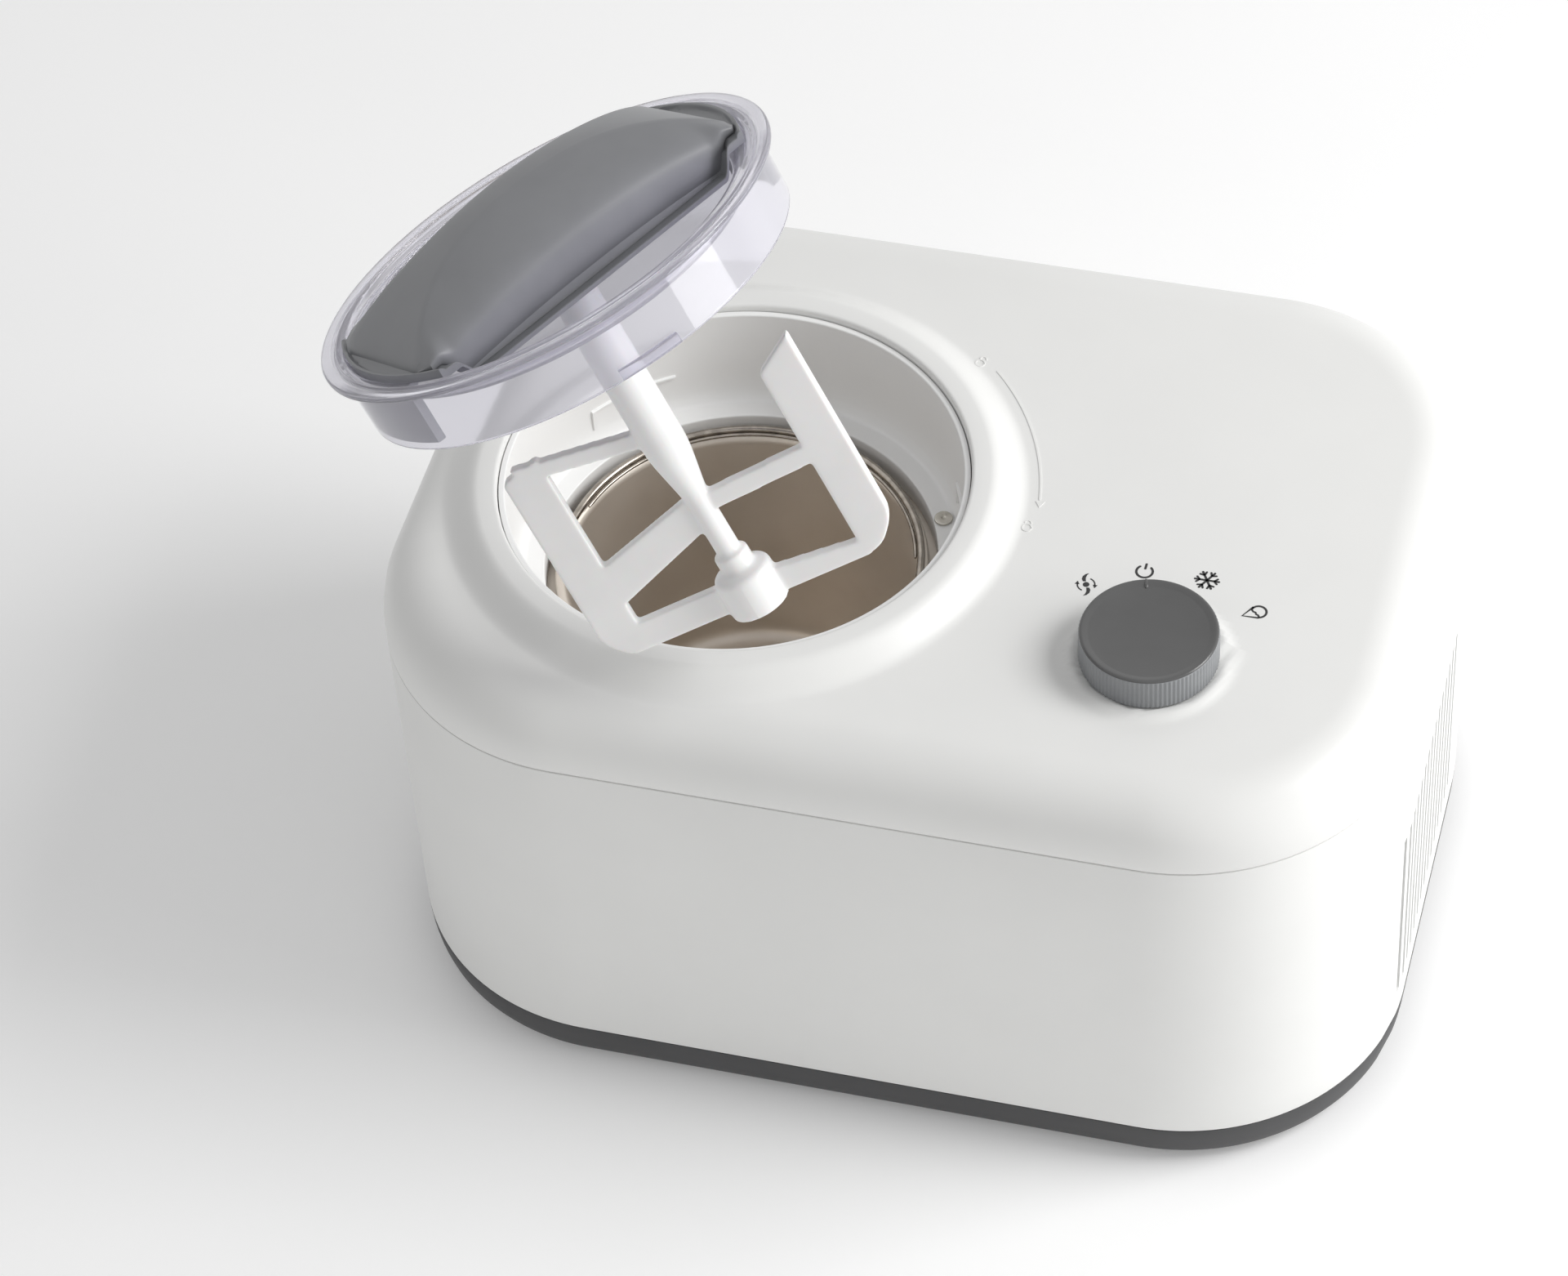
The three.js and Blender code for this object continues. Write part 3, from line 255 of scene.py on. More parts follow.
# ---- Top cover ---------------------------------------------------------------------------------------
# One white moulding that closes the cabinet: a soft fillet round its edge, a raised collar with a stepped
# mouth and an inner ledge round the bowl, and a low ring round the dial. It snaps down over the shell.
bowl_x, bowl_y = -77, -14
top_z, cover_fillet, fillet_power = 213, 26, 2.25
collar_rise, collar_in, collar_out = 8.5, 103, 119
step_r, step_deep, mouth_r = 95.4, 2.8, 92.6
ledge_z, ledge_r, ledge_lip, ledge_edge = 172, 80.5, 12, 3.6
dial_x, dial_y, dial_r = 105, -69, 27.5
dial_ring_in, dial_ring_out, dial_ring_rise = 28.6, 34.5, 1.5


def smoothstep(low, high, value):
    t = min(1, max(0, (value - low) / (high - low)))
    return t * t * (3 - 2 * t)


def rounded(profile, closed=True, steps=5):
    """A profile of (r, z) or (r, z, fillet) corners with each fillet drawn as a short arc."""
    out = []
    count = len(profile)
    for i, corner in enumerate(profile):
        here = Vector(corner[:2])
        fillet = corner[2] if len(corner) > 2 else 0
        if fillet == 0 or (not closed and i in (0, count - 1)):
            out.append(tuple(here))
            continue
        before = Vector(profile[i - 1][:2]) - here
        after = Vector(profile[(i + 1) % count][:2]) - here
        reach = min(fillet, 0.49 * before.length, 0.49 * after.length)
        start, end = here + before.normalized() * reach, here + after.normalized() * reach
        for k in range(steps + 1):
            t = k / steps
            out.append(tuple(start * (1 - t) ** 2 + here * 2 * t * (1 - t) + end * t * t))
    return out


def edge_distance(x, y):
    """How far a point lies inside the cabinet's outline."""
    qx, qy = abs(x) - (cabinet_w / 2 - corner_r), abs(y) - (cabinet_d / 2 - corner_r)
    return corner_r - math.hypot(max(qx, 0), max(qy, 0)) - min(max(qx, qy), 0)


def cover_height(x, y):
    inside = max(0, edge_distance(x, y))
    drop = max(0, 1 - inside / cover_fillet)
    z = top_z - cover_fillet + cover_fillet * (1 - drop ** fillet_power) ** (1 / fillet_power)
    from_bowl = math.hypot(x - bowl_x, y - bowl_y)
    z += collar_rise * (1 - smoothstep(collar_in, collar_out, from_bowl))
    from_dial = math.hypot(x - dial_x, y - dial_y)
    z += dial_ring_rise * (smoothstep(dial_ring_in - 0.6, dial_ring_in, from_dial)
                           - smoothstep(dial_ring_in + 1.6, dial_ring_out, from_dial))
    return z


def top_cover():
    collar_top = top_z + collar_rise
    mouth = rounded([
        (step_r, top_z - 3),
        (step_r + 0.2, collar_top, 1.8),
        (collar_in, collar_top),
    ], closed=False, steps=6)
    rays = []
    for x, y, n, slot in cabinet_outline:
        away = Vector((x - bowl_x, y - bowl_y))
        rays.append((away.normalized(), away.length))
    rings = [[(bowl_x + d.x * r, bowl_y + d.y * r, z) for d, reach in rays] for r, z in mouth]
    flare = 20
    for k in range(1, flare + 1):
        r = collar_in + (collar_out + 2 - collar_in) * k / flare
        spots = [(bowl_x + d.x * r, bowl_y + d.y * r) for d, reach in rays]
        rings.append([(x, y, cover_height(x, y)) for x, y in spots])
    plain = 110
    start = collar_out + 2
    for k in range(1, plain + 1):
        share = 1 - (1 - k / plain) ** 1.7
        ring = []
        for d, reach in rays:
            r = start + (reach - start) * share
            x, y = bowl_x + d.x * r, bowl_y + d.y * r
            ring.append((x, y, cover_height(x, y)))
        rings.append(ring)
    bottom = seam_z + seam_gap
    rings += [outline_ring(0, bottom + 0.6), outline_ring(0.12, bottom + 0.15)]
    rings += [outline_ring(0.5, bottom), outline_ring(wall, bottom)]
    points, faces = skin(rings)
    piece = mesh_piece("cover_moulding", points, faces, white_abs, sharp=50)
    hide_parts("top_cover")
    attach(piece, "base")


top_cover()


def seam_tongue():
    """The shell's inner tongue, which stands behind the seam and closes it to the light."""
    levels = [(wall, seam_z - 6), (wall, seam_z + 5), (wall + 1, seam_z + 5), (wall + 1, seam_z - 6)]
    points, faces = skin([outline_ring(*level) for level in levels], loop=True)
    piece = mesh_piece("shell_tongue", points, faces, white_abs)
    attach(piece, "base")


seam_tongue()

# ---- Collar liner ------------------------------------------------------------------------------------
# The white ring inside the collar: the mouth's wall, the flat ledge that the lid comes down to, and a short
# lip round the bowl's rim. Moulded in the cover's plastic and clipped in below the collar's edge.


def lathe(name, profile, material, centre=(0, 0), count=128, closed=True, place=None, sharp=40):
    """Turns a profile about the vertical through `centre`, or about the local Z of the matrix `place`."""
    rings = []
    for r, z in profile:
        ring = []
        for i in range(count):
            t = 2 * math.pi * i / count
            point = Vector((centre[0] + r * math.cos(t), centre[1] + r * math.sin(t), z))
            ring.append(tuple(place @ point) if place else tuple(point))
        rings.append(ring)
    points, faces = skin(rings, loop=closed)
    return mesh_piece(name, points, faces, material, sharp)


def lathe_bowl(name, profile, material, node, body, slot, **more):
    piece = lathe(name, profile, material, centre=(bowl_x, bowl_y), **more)
    if node:
        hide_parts(node)
    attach(piece, body)
    return piece


# The same satin ABS painted a shade whiter: painted light, standing in for the light that fills the collar's
# inside.
liner_painted_light = solid_material("satin_white_abs_painted_light_liner", ("f6f6f5", "f8f8f7"), 60, (0.33, 0.39), 0.7, 0.006)
step_z = top_z + collar_rise - step_deep
lathe_bowl("mouth_ring", rounded([
    (step_r - 0.3, step_z, 0.4),
    (mouth_r, step_z, 0.8),
    (mouth_r - 1.6, ledge_z + 5, 2),
    (mouth_r - ledge_edge, ledge_z, 1.5),
    (ledge_r, ledge_z, 0.8),
    (ledge_r, ledge_z - ledge_lip, 0.6),
    (ledge_r + wall, ledge_z - ledge_lip),
    (ledge_r + wall, ledge_z - wall),
    (step_r - 0.3, ledge_z - wall),
]), liner_painted_light, "collar_liner", "base", "shell_abs", count=192)

# ---- Bayonet ribs inside the collar ------------------------------------------------------------------
# Three curved ribs on the mouth's wall that the lid's lugs turn in under, each with an upright stop at its
# end. Moulded with the cover, so they share its plastic.
rib_arc, rib_z, rib_t, rib_out = 24, 189, 1.6, 2.2


def arc_block(name, r0, r1, low, high, z0, z1, material, steps=24, place=None):
    """A block that follows an arc about the bowl's axis, with soft long edges."""
    section = rounded([(r0, z0, 0.5), (r1, z0, 0.5), (r1, z1, 0.5), (r0, z1, 0.5)], steps=3)
    rings = []
    for k in range(steps + 1):
        t = math.radians(low + (high - low) * k / steps)
        ring = [(r * math.cos(t), r * math.sin(t), z) for r, z in section]
        if place:
            rings.append([tuple(place @ Vector(p)) for p in ring])
        else:
            rings.append([(x + bowl_x, y + bowl_y, z) for x, y, z in ring])
    points, faces = skin(rings, ends=(True, True))
    return mesh_piece(name, points, faces, material)


# The ribs and stops take the liner's plastic, painted a shade whiter as light inside the collar.
for index, start in enumerate((2, 122, 242)):
    rib = arc_block(f"bayonet_rib_{index + 1}", mouth_r - rib_out, mouth_r + 0.6, start, start + rib_arc,
                    rib_z, rib_z + rib_t, liner_painted_light)
    stop = arc_block(f"bayonet_stop_{index + 1}", mouth_r - rib_out, mouth_r + 0.4, start + rib_arc,
                     start + rib_arc + 1.2, rib_z - 9, rib_z + rib_t, liner_painted_light, steps=4)
    for piece in (rib, stop):
        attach(piece, "base")

# ---- Base pan ----------------------------------------------------------------------------------------
# The grey band at the foot of the cabinet: a pressed sheet-steel pan with a rounded lower edge, powder
# coated with a fine dry texture. The four rubber feet are pushed into it.
# Powder coat: a dry dark grey with a fine texture and almost no gloss.
grey_powder = solid_material("grey_powder_coated_steel", ("434344", "484849"), 35, (0.5, 0.6), 0.5, 0.02)
pan_profile = [(9, 0), (6.5, 0.15), (4.6, 0.9), (3.2, 2.4), (2, 4.6), (1, 8.5), (0.35, 13)]
pan_profile += [(0, pan_top - 0.7), (0.15, pan_top - 0.2), (0.5, pan_top), (wall, pan_top), (wall, 4)]
points, faces = skin([outline_ring(*level) for level in pan_profile], ends=(True, True))
pan = mesh_piece("pan_pressing", points, faces, grey_powder)
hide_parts("base_pan")
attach(pan, "base")

# ---- Dial --------------------------------------------------------------------------------------------
# The selector knob: a grey moulding with fine upright flutes round its side, a bevelled rim and a glossy,
# slightly dished top with one raised pointer at its edge. Pushed onto the switch's steel shaft.
dial_bottom, dial_h, dial_flutes, flute_deep = 213.6, 15, 96, 0.42
dial_bevel, dial_dish = 3.4, 0.9
pointer_angle = math.radians(90 + 14.5)

# Fluted ABS: the flutes break a satin sheen into fine upright lines.
dial_side = solid_material("fluted_grey_abs", ("8f9194", "959799"), 12, (0.38, 0.46), 0.4, 0.01)
# Polished ABS: a darker grey that shows small, nearly sharp highlights.
dial_gloss = solid_material("polished_grey_abs", ("545454", "585858"), 25, (0.12, 0.17), 0.9, 0.003)


def dial():
    top = dial_bottom + dial_h
    flute_steps = 6
    count = dial_flutes * flute_steps
    levels = [(dial_r - 1.4, dial_bottom, 0), (dial_r - 0.5, dial_bottom, 0.4)]
    levels += [(dial_r, dial_bottom + 0.7, 1), (dial_r, top - 1.5, 1)]
    levels += [(dial_r - 0.1, top - 1.1, 0.3), (dial_r - 0.35, top - 0.85, 0)]
    gloss_from = len(levels)
    levels += [(dial_r - 0.42, top - 0.5, 0), (dial_r - 0.7, top - 0.15, 0), (dial_r - 1.2, top, 0)]
    levels += [(dial_r - 1.8, top - 0.05, 0), (dial_r - dial_bevel, top - dial_dish * 0.8, 0)]
    levels += [(dial_r - dial_bevel - 0.8, top - dial_dish, 0), (dial_r * 0.5, top - dial_dish - 0.12, 0)]
    levels += [(1, top - dial_dish - 0.15, 0)]
    rings = []
    for r, z, flute in levels:
        ring = []
        for i in range(count):
            t = 2 * math.pi * i / count
            wave = 0.5 - 0.5 * math.cos(t * dial_flutes)
            reach = r - flute * flute_deep * wave
            ring.append((dial_x + reach * math.cos(t), dial_y + reach * math.sin(t), z))
        rings.append(ring)
    points, faces = skin(rings, ends=(True, True))
    piece = mesh_piece("dial_moulding", points, faces, dial_side, sharp=60)
    piece.data.materials.append(dial_gloss)
    for face in piece.data.polygons:
        if min(face.vertices) // count >= gloss_from - 1:
            face.material_index = 1
    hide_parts("knob")
    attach(piece, "selector")


dial()


def dial_pointer():
    """The raised tick at the rim: a short rounded bar that points at the chosen symbol."""
    along = Vector((math.cos(pointer_angle), math.sin(pointer_angle), 0))
    across = Vector((-along.y, along.x, 0))
    top = dial_bottom + dial_h
    start, end, half, rise = dial_r - 5, dial_r - 0.5, 0.55, 0.25
    rings = []
    for r, w, z in [(start, 0.1, top - 0.9), (start + 0.4, half, top - 0.5), (start + 2, half, top - 0.1),
                    (end - 0.6, half, top + rise), (end, half * 0.8, top - 0.1)]:
        low = top - 1.6
        corners = [(w, low), (w, z - 0.12), (w * 0.7, z), (-w * 0.7, z), (-w, z - 0.12), (-w, low)]
        rings.append([tuple(Vector((dial_x, dial_y, h)) + along * r + across * side) for side, h in corners])
    points, faces = skin(rings, ends=(True, True))
    piece = mesh_piece("dial_pointer", points, faces, dial_gloss)
    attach(piece, "selector")


dial_pointer()

# ---- Printed symbols ---------------------------------------------------------------------------------
# Four dark pad-printed symbols round the dial: mixing, power, cooling and ready. Each is a thin layer of ink
# that lies just over the cover, drawn from strokes of one width.
# Pad-print ink: a flat soft black.
ink = solid_material("black_pad_print_ink", ("222222", "2a2a2a"), 2, (0.45, 0.55), 0.3, 0.01)
ink_z = 213.05
ink_t = 0.04


def arc_points(centre, radius, low, high, steps=24, squash=1.0):
    out = []
    for k in range(steps + 1):
        t = math.radians(low + (high - low) * k / steps)
        out.append((centre[0] + radius * math.cos(t), centre[1] + radius * squash * math.sin(t)))
    return out


def stroke(points, width):
    """A line of one width, or of one width per point, with half-round ends, as one flat outline."""
    widths = width if isinstance(width, list) else [width] * len(points)
    left, right = [], []
    for i, point in enumerate(points):
        a = Vector(points[max(0, i - 1)])
        b = Vector(points[min(len(points) - 1, i + 1)])
        along = (b - a).normalized()
        side = Vector((-along.y, along.x)) * widths[i] / 2
        left.append(Vector(point) + side)
        right.append(Vector(point) - side)
        if i == 0:
            first = along
        last = along
    tail = [Vector(points[-1]) + last * widths[-1] * 0.35]
    head = [Vector(points[0]) - first * widths[0] * 0.35]
    return left + tail + right[::-1] + head


def print_layer(name, shapes, centre, size=1.0, base_z=ink_z, height=ink_t, material=None, body="base"):
    """One object from flat outlines, given in millimetres about `centre`."""
    points, faces = [], []
    for shape in shapes:
        start = len(points)
        count = len(shape)
        for z in (base_z, base_z + height):
            points += [(centre[0] + x * size, centre[1] + y * size, z) for x, y in shape]
        faces.append(tuple(range(start + count - 1, start - 1, -1)))
        faces.append(tuple(range(start + count, start + 2 * count)))
        for i in range(count):
            j = (i + 1) % count
            faces.append((start + i, start + j, start + count + j, start + count + i))
    piece = mesh_piece(name, points, faces, material or ink, sharp=30)
    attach(piece, body)
    return piece


def symbol_power():
    ring = stroke(arc_points((0, 0), 3.25, 130, 410, 30), 0.95)
    bar = stroke([(0, 1.4), (0, 4.2)], 0.95)
    return [ring, bar]


def symbol_snow():
    shapes = []
    for k in range(6):
        t = math.radians(60 * k)
        out = Vector((math.cos(t), math.sin(t)))
        shapes.append(stroke([tuple(out * 0.2), tuple(out * 5.0)], 0.95))
        for side in (-1, 1):
            branch = Matrix.Rotation(side * math.radians(48), 2) @ out
            root = out * 2.9
            shapes.append(stroke([tuple(root), tuple(root + branch * 2.0)], 0.85))
    return shapes


def symbol_mix():
    blade = [(-0.1, 6.1), (-1.4, 5.4), (-2.25, 4.1), (-2.3, 2.6), (-1.6, 1.4), (-0.4, 1.6), (-0.7, 2.6),
             (-0.9, 3.6), (-0.7, 4.9)]
    arrow = stroke(arc_points((0, 0), 3.45, 4, 72, 12), 0.55)
    head = [(3.6, -1.3), (4.5, 0.5), (2.6, 0.4)]
    shapes = [arc_points((0, 0), 1.3, 0, 345, 23)]
    for turned in (0, 180):
        swirl = Matrix.Rotation(math.radians(turned), 2)
        shapes += [[tuple(swirl @ Vector(p)) for p in shape] for shape in (blade, arrow, head)]
    return shapes


def symbol_cone():
    scoop = arc_points((1.35, 0.45), 3.05, -75, 150, 30, 0.98)
    drip = [(-1.3, 2.0), (-1.5, 1.0), (-0.7, 0.1), (0.2, -0.1), (0.6, -1.0), (1.5, -1.4), (2.0, -2.3)]
    return [
        stroke([(-1.2, 2.5), (-4.6, -2.9), (1.9, -2.7)], 0.85),
        stroke(scoop, 0.9),
        stroke(drip, 0.8),
    ]


print_layer("symbol_mixing", symbol_mix(), (72.8, -36.8))
print_layer("symbol_power", symbol_power(), (93.8, -25.2))
print_layer("symbol_cooling", symbol_snow(), (118.8, -24.7))
print_layer("symbol_ready", symbol_cone(), (140.6, -37.4))

# ---- Raised marks beside the collar ------------------------------------------------------------------
# The locking arrow and its open and closed padlocks, standing a third of a millimetre out of the cover and
# moulded with it, so they show only by their edges.
mark_r, mark_z, mark_h = 123, 212.7, 0.6


def on_arc(radius, degrees):
    t = math.radians(degrees)
    return (radius * math.cos(t), radius * math.sin(t))


def padlock(degrees, opened):
    """A padlock about `degrees` round the bowl: a body with a round shackle, lifted when it is open."""
    centre = Vector(on_arc(mark_r - 3, degrees))
    shift = 0.9 if opened else 0
    body = stroke(arc_points((0, -0.6), 1.9, 0, 360, 24), 0.5)
    shackle = stroke(arc_points((shift, 1.9), 1.3, -10 if opened else 0, 180, 12), 0.5)
    return [[tuple(centre + Vector(p)) for p in shape] for shape in (body, shackle)]


arrow_line = stroke([on_arc(mark_r, 44 - 35.5 * k / 30) for k in range(31)], 0.8)
tip = Vector(on_arc(mark_r, 6.8))
arrow_tip = [tuple(tip + Vector(p)) for p in ((-1.9, 2.6), (0, 1.7), (1.9, 3.0), (0.2, -0.6))]
marks = [arrow_line, arrow_tip] + padlock(1.4, False) + padlock(48, True)
print_layer("locking_marks", marks, (bowl_x, bowl_y), 1, mark_z, mark_h, white_abs)

# ---- Lid sensor --------------------------------------------------------------------------------------
# The small turned steel disc on the ledge that feels the lid's magnet, with a dimple in its middle.
# Turned steel: fine marks that spread its highlights.
turned_steel = solid_material(
    "turned_stainless_steel", ("b5b1a8", "c4c0b8"), 3, (0.24, 0.34), 0.12, 0.004, Metallic=1.0,
)
sensor_low, sensor_high = [Vector(corner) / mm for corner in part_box("lid_sensor")]
sensor_middle = (sensor_low + sensor_high) / 2
sensor_r = (sensor_high.x - sensor_low.x) / 2
sensor = lathe("sensor_disc", rounded([
    (0.02, sensor_low.z), (sensor_r, sensor_low.z), (sensor_r, sensor_high.z, 0.3), (0.9, sensor_high.z, 0.2),
    (0.6, sensor_high.z - 0.35), (0.02, sensor_high.z - 0.4),
]), turned_steel, centre=(sensor_middle.x, sensor_middle.y), count=48)
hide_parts("lid_sensor")
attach(sensor, "base")

# ---- Bowl and cooling well ---------------------------------------------------------------------------
# The lift-out bowl: spun aluminium, anodised to a warm satin, with a rolled rim and the tube that the drive
# shaft comes up through. It stands in a plain cold well of the same metal.
bowl_r, bowl_floor, bowl_rim, bowl_wall, bowl_taper = 71.5, 49, 168, 1.5, 2
rim_roll, tube_r, tube_h = 4, 7.2, 14
bowl_foot_r = bowl_r - bowl_taper

# Satin anodising: a warm pale metal whose reflections are blurred.
anodised = solid_material(
    "satin_anodised_aluminium", ("d3cabf", "dcd4ca"), 45, (0.4, 0.52), 0.25, 0.012, Metallic=0.75,
)
lathe_bowl("bowl_spinning", rounded([
    (tube_r, bowl_floor - bowl_wall),
    (tube_r, bowl_floor + tube_h, 0.6),
    (tube_r + bowl_wall, bowl_floor + tube_h, 0.6),
    (tube_r + bowl_wall, bowl_floor, 3),
    (bowl_foot_r, bowl_floor, 9),
    (bowl_r, bowl_rim - 2.5, 2),
    (bowl_r + 1.8, bowl_rim, 1.4),
    (bowl_r + rim_roll + 1.2, bowl_rim, 1.6),
    (bowl_r + rim_roll + 1.2, bowl_rim - 3, 1.4),
    (bowl_r + bowl_wall, bowl_rim - 3, 0.8),
    (bowl_foot_r + bowl_wall, bowl_floor - bowl_wall, 9),
]), anodised, "bowl", "bowl_unit", "aluminium", count=192)

well_low, well_high = [Vector(corner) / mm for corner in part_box("cooling_well")]
well_r = bowl_r + bowl_wall + 2
lathe_bowl("well_drawing", rounded([
    (tube_r + 1, well_low.z),
    (well_r - 6, well_low.z, 4),
    (well_r + 1.8, well_high.z - 2, 1),
    ((well_high.x - well_low.x) / 2, well_high.z - 2),
    ((well_high.x - well_low.x) / 2, well_high.z, 0.5),
    (well_r, well_high.z, 1.5),
    (well_r - bowl_taper, well_low.z + 1.8, 6),
    (tube_r + 1, well_low.z + 1.8),
]), anodised, "cooling_well", "base", "aluminium", count=128)

# ---- Bowl handle and its brackets --------------------------------------------------------------------
# A bright stainless wire bent to the rim, folded back on it, with its turned-out ends in two pressed
# brackets. A thinner stiffening wire runs along the inside of the main one.
bail_z, wire_r, bail_steps, bracket_w = 171, 1.6, 90, 4
bracket_x = bowl_r + rim_roll + 0.2
bail_r = bracket_x - wire_r - 0.5

# Drawn wire: narrow bright highlights that run along it.
wire_steel = solid_material(
    "drawn_stainless_wire", ("8f8880", "a8a198"), 4, (0.16, 0.26), 0.2, 0.004, Metallic=1.0,
)
# Pressed plate: duller than the wire, with a blurred sheen.
pressed_steel = solid_material(
    "pressed_stainless_steel", ("8e8b86", "9c9994"), 8, (0.3, 0.42), 0.3, 0.008, Metallic=1.0,
)


def rod(name, path, radius, material, count=16):
    """A round rod along a path of points, kept square to it, with closed ends."""
    path = [Vector(p) for p in path]
    up = Vector((0, 0, 1))
    rings = []
    for i, here in enumerate(path):
        along = (path[min(i + 1, len(path) - 1)] - path[max(i - 1, 0)]).normalized()
        side = along.cross(up)
        side = side.normalized() if side.length > 1e-4 else Vector((1, 0, 0))
        top = side.cross(along).normalized()
        width = radius * (0.7 if i in (0, len(path) - 1) else 1)
        ring = []
        for k in range(count):
            t = 2 * math.pi * k / count
            ring.append(tuple(here + side * width * math.cos(t) + top * width * math.sin(t)))
        rings.append(ring)
    points, faces = skin(rings, ends=(True, True))
    return mesh_piece(name, points, faces, material)


def bail():
    end = bracket_x + bracket_w - 0.4
    bend = 2.2
    path = [(-end, 0), (-end + 0.2, 0), (-bail_r - bend * 0.6, 0)]
    for k in range(5):
        t = math.pi * (1 - 0.012 - 0.012 * k)
        path.append((bail_r * math.cos(t) - bend * 0.25 * (1 - k / 4) ** 2, bail_r * math.sin(t)))
    for k in range(bail_steps + 1):
        t = math.pi * (0.94 - 0.88 * k / bail_steps)
        path.append((bail_r * math.cos(t), bail_r * math.sin(t)))
    path += [(-x, y) for x, y in reversed(path[:8])]
    wire = rod("bail_wire", [(bowl_x + x, bowl_y + y, bail_z) for x, y in path], wire_r, wire_steel)
    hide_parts("bowl_handle")
    inner_r = bail_r - wire_r - 0.75
    inner = []
    for k in range(bail_steps + 1):
        t = math.pi * (0.93 - 0.86 * k / bail_steps)
        inner.append((bowl_x + inner_r * math.cos(t), bowl_y + inner_r * math.sin(t), bail_z - 0.9))
    stiffener = rod("bail_stiffener", inner, 0.8, wire_steel, count=10)
    for piece in (wire, stiffener):
        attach(piece, "bail")


bail()


def bracket(side):
    """A folded plate bracket, drawn as a low closed block with soft edges that the wire's end runs into."""
    low, high = [Vector(corner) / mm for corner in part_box(f"bowl_bracket_{side}")]
    middle = (low + high) / 2
    outline_yz = rounded([
        (low.y, low.z), (high.y, low.z), (high.y, high.z, 3), (low.y, high.z, 3),
    ], steps=6)
    rings = []
    for x, inset in ((low.x, 0.4), (low.x + 0.4, 0), (high.x - 0.4, 0), (high.x, 0.4)):
        ring = []
        for y, z in outline_yz:
            ring.append((x, y + (middle.y - y) * inset / 4, z + (middle.z - z) * inset / 4))
        rings.append(ring)
    points, faces = skin(rings, ends=(True, True))
    piece = mesh_piece(f"bail_bracket_{side}", points, faces, pressed_steel)
    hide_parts(f"bowl_bracket_{side}")
    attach(piece, "bowl_unit")


bracket("left")
bracket("right")

# ---- Lid cover ---------------------------------------------------------------------------------------
# The clear lid: a dished plate under a rounded flange, a groove inside it and a deep skirt with three
# lugs. Injection moulded in a polished clear copolyester with a faint cool tint, thin enough to see through.
joints = {joint["name"]: joint for joint in frame["joints"]}
lid_centre = Vector(joints["lid_turn"]["pos_m"]) / mm
lid_up = Vector(joints["lid_turn"]["axis"]).normalized()
lid_back = -Vector(joints["lid_tilt"]["axis"]).normalized()
lid_side = lid_back.cross(lid_up).normalized()
lid_place = Matrix((
    (lid_side.x, lid_back.x, lid_up.x, lid_centre.x),
    (lid_side.y, lid_back.y, lid_up.y, lid_centre.y),
    (lid_side.z, lid_back.z, lid_up.z, lid_centre.z),
    (0, 0, 0, 1),
))
lid_r, lid_t, skirt_r, skirt_t, skirt_h = 94.5, 2.4, 88.5, 2.2, 28
dish, dish_r = 10.5, 74.5
lid_turned = math.radians(73)
lug_turned = 91


def clear_plastic(name, tint, clearness):
    """Clear plastic that bends what is seen through it, and lets the lamps' light straight on."""
    material = empty_material(name)
    sockets = {"Transmission_Weight": clearness, "IOR": 1.5}
    plastic = shaded(material, (tint, tint), 80, (0.03, 0.07), 6, 0.01, **sockets)
    tinted = add(material, "ShaderNodeBsdfTransparent", {"Color": linear("e9e8ee")})
    ray = add(material, "ShaderNodeLightPath").outputs
    soft = add(material, "ShaderNodeMath", {"operation": "MAXIMUM"})
    mixed = add(material, "ShaderNodeMixShader")
    links = material.node_tree.links
    links.new(ray["Is Shadow Ray"], soft.inputs[0])
    links.new(ray["Is Diffuse Ray"], soft.inputs[1])
    links.new(soft.outputs["Value"], mixed.inputs[0])
    links.new(plastic, mixed.inputs[1])
    links.new(tinted.outputs["BSDF"], mixed.inputs[2])
    return finish_material(material, mixed.outputs["Shader"])


# Polished clear plastic: a glassy surface with a faint cool tint and bright rims.
lid_plastic = clear_plastic("polished_clear_copolyester", "e9e8ef", 0.86)


def lid_cover():
    profile = rounded([
        (7, -4.6),
        (7, -lid_t, 0.5),
        (28, -lid_t, 1),
        (31.5, -dish, 1.5),
        (dish_r, -dish, 2),
        (dish_r + 5.5, -lid_t, 1.5),
        (skirt_r - 5, -lid_t, 0.8),
        (skirt_r - 3.6, -0.2, 0.8),
        (skirt_r - 0.5, 0.0, 0.8),
        (skirt_r + 0.4, -0.9, 0.5),
        (skirt_r + 1.6, 0.0, 0.6),
        (lid_r, 0, 1.2),
        (lid_r, -lid_t, 1),
        (skirt_r + 0.4, -lid_t - 0.3, 1),
        (skirt_r, -skirt_h, 0.6),
        (skirt_r - skirt_t, -skirt_h, 0.6),
        (skirt_r - skirt_t + 0.6, -4.6, 1.2),
        (dish_r + 6, -4.6, 0.8),
        (dish_r + 1, -dish - 2.2, 2),
        (29.5, -dish - 2.2, 1.5),
        (26, -4.6, 1),
    ])
    cover = lathe("lid_moulding", profile, lid_plastic, count=192, place=lid_place)
    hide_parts("lid_cover")
    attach(cover, "lid")
    for index in range(3):
        middle = lug_turned + 120 * index
        lug = arc_block(f"lid_lug_{index + 1}", skirt_r - 0.5, skirt_r + 2.6, middle - 8, middle + 8,
                        -skirt_h + 1, -skirt_h + 5, lid_plastic, steps=12, place=lid_place)
        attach(lug, "lid")


lid_cover()

# ---- Lid handle --------------------------------------------------------------------------------------
# The big grey grip: a plate cut straight along both sides, with a low rim round its ends and one broad fin
# along its middle. The fin's flanks tuck in at their feet as finger grips. Moulded in matt polypropylene.
handle_r, handle_half, handle_t, fin_h = 84, 41, 3, 26.5
fin_half_l, fin_half_w, crest_half, crest_slope, tuck, lip_down = 77, 37, 8, 0.42, 5, 9.5

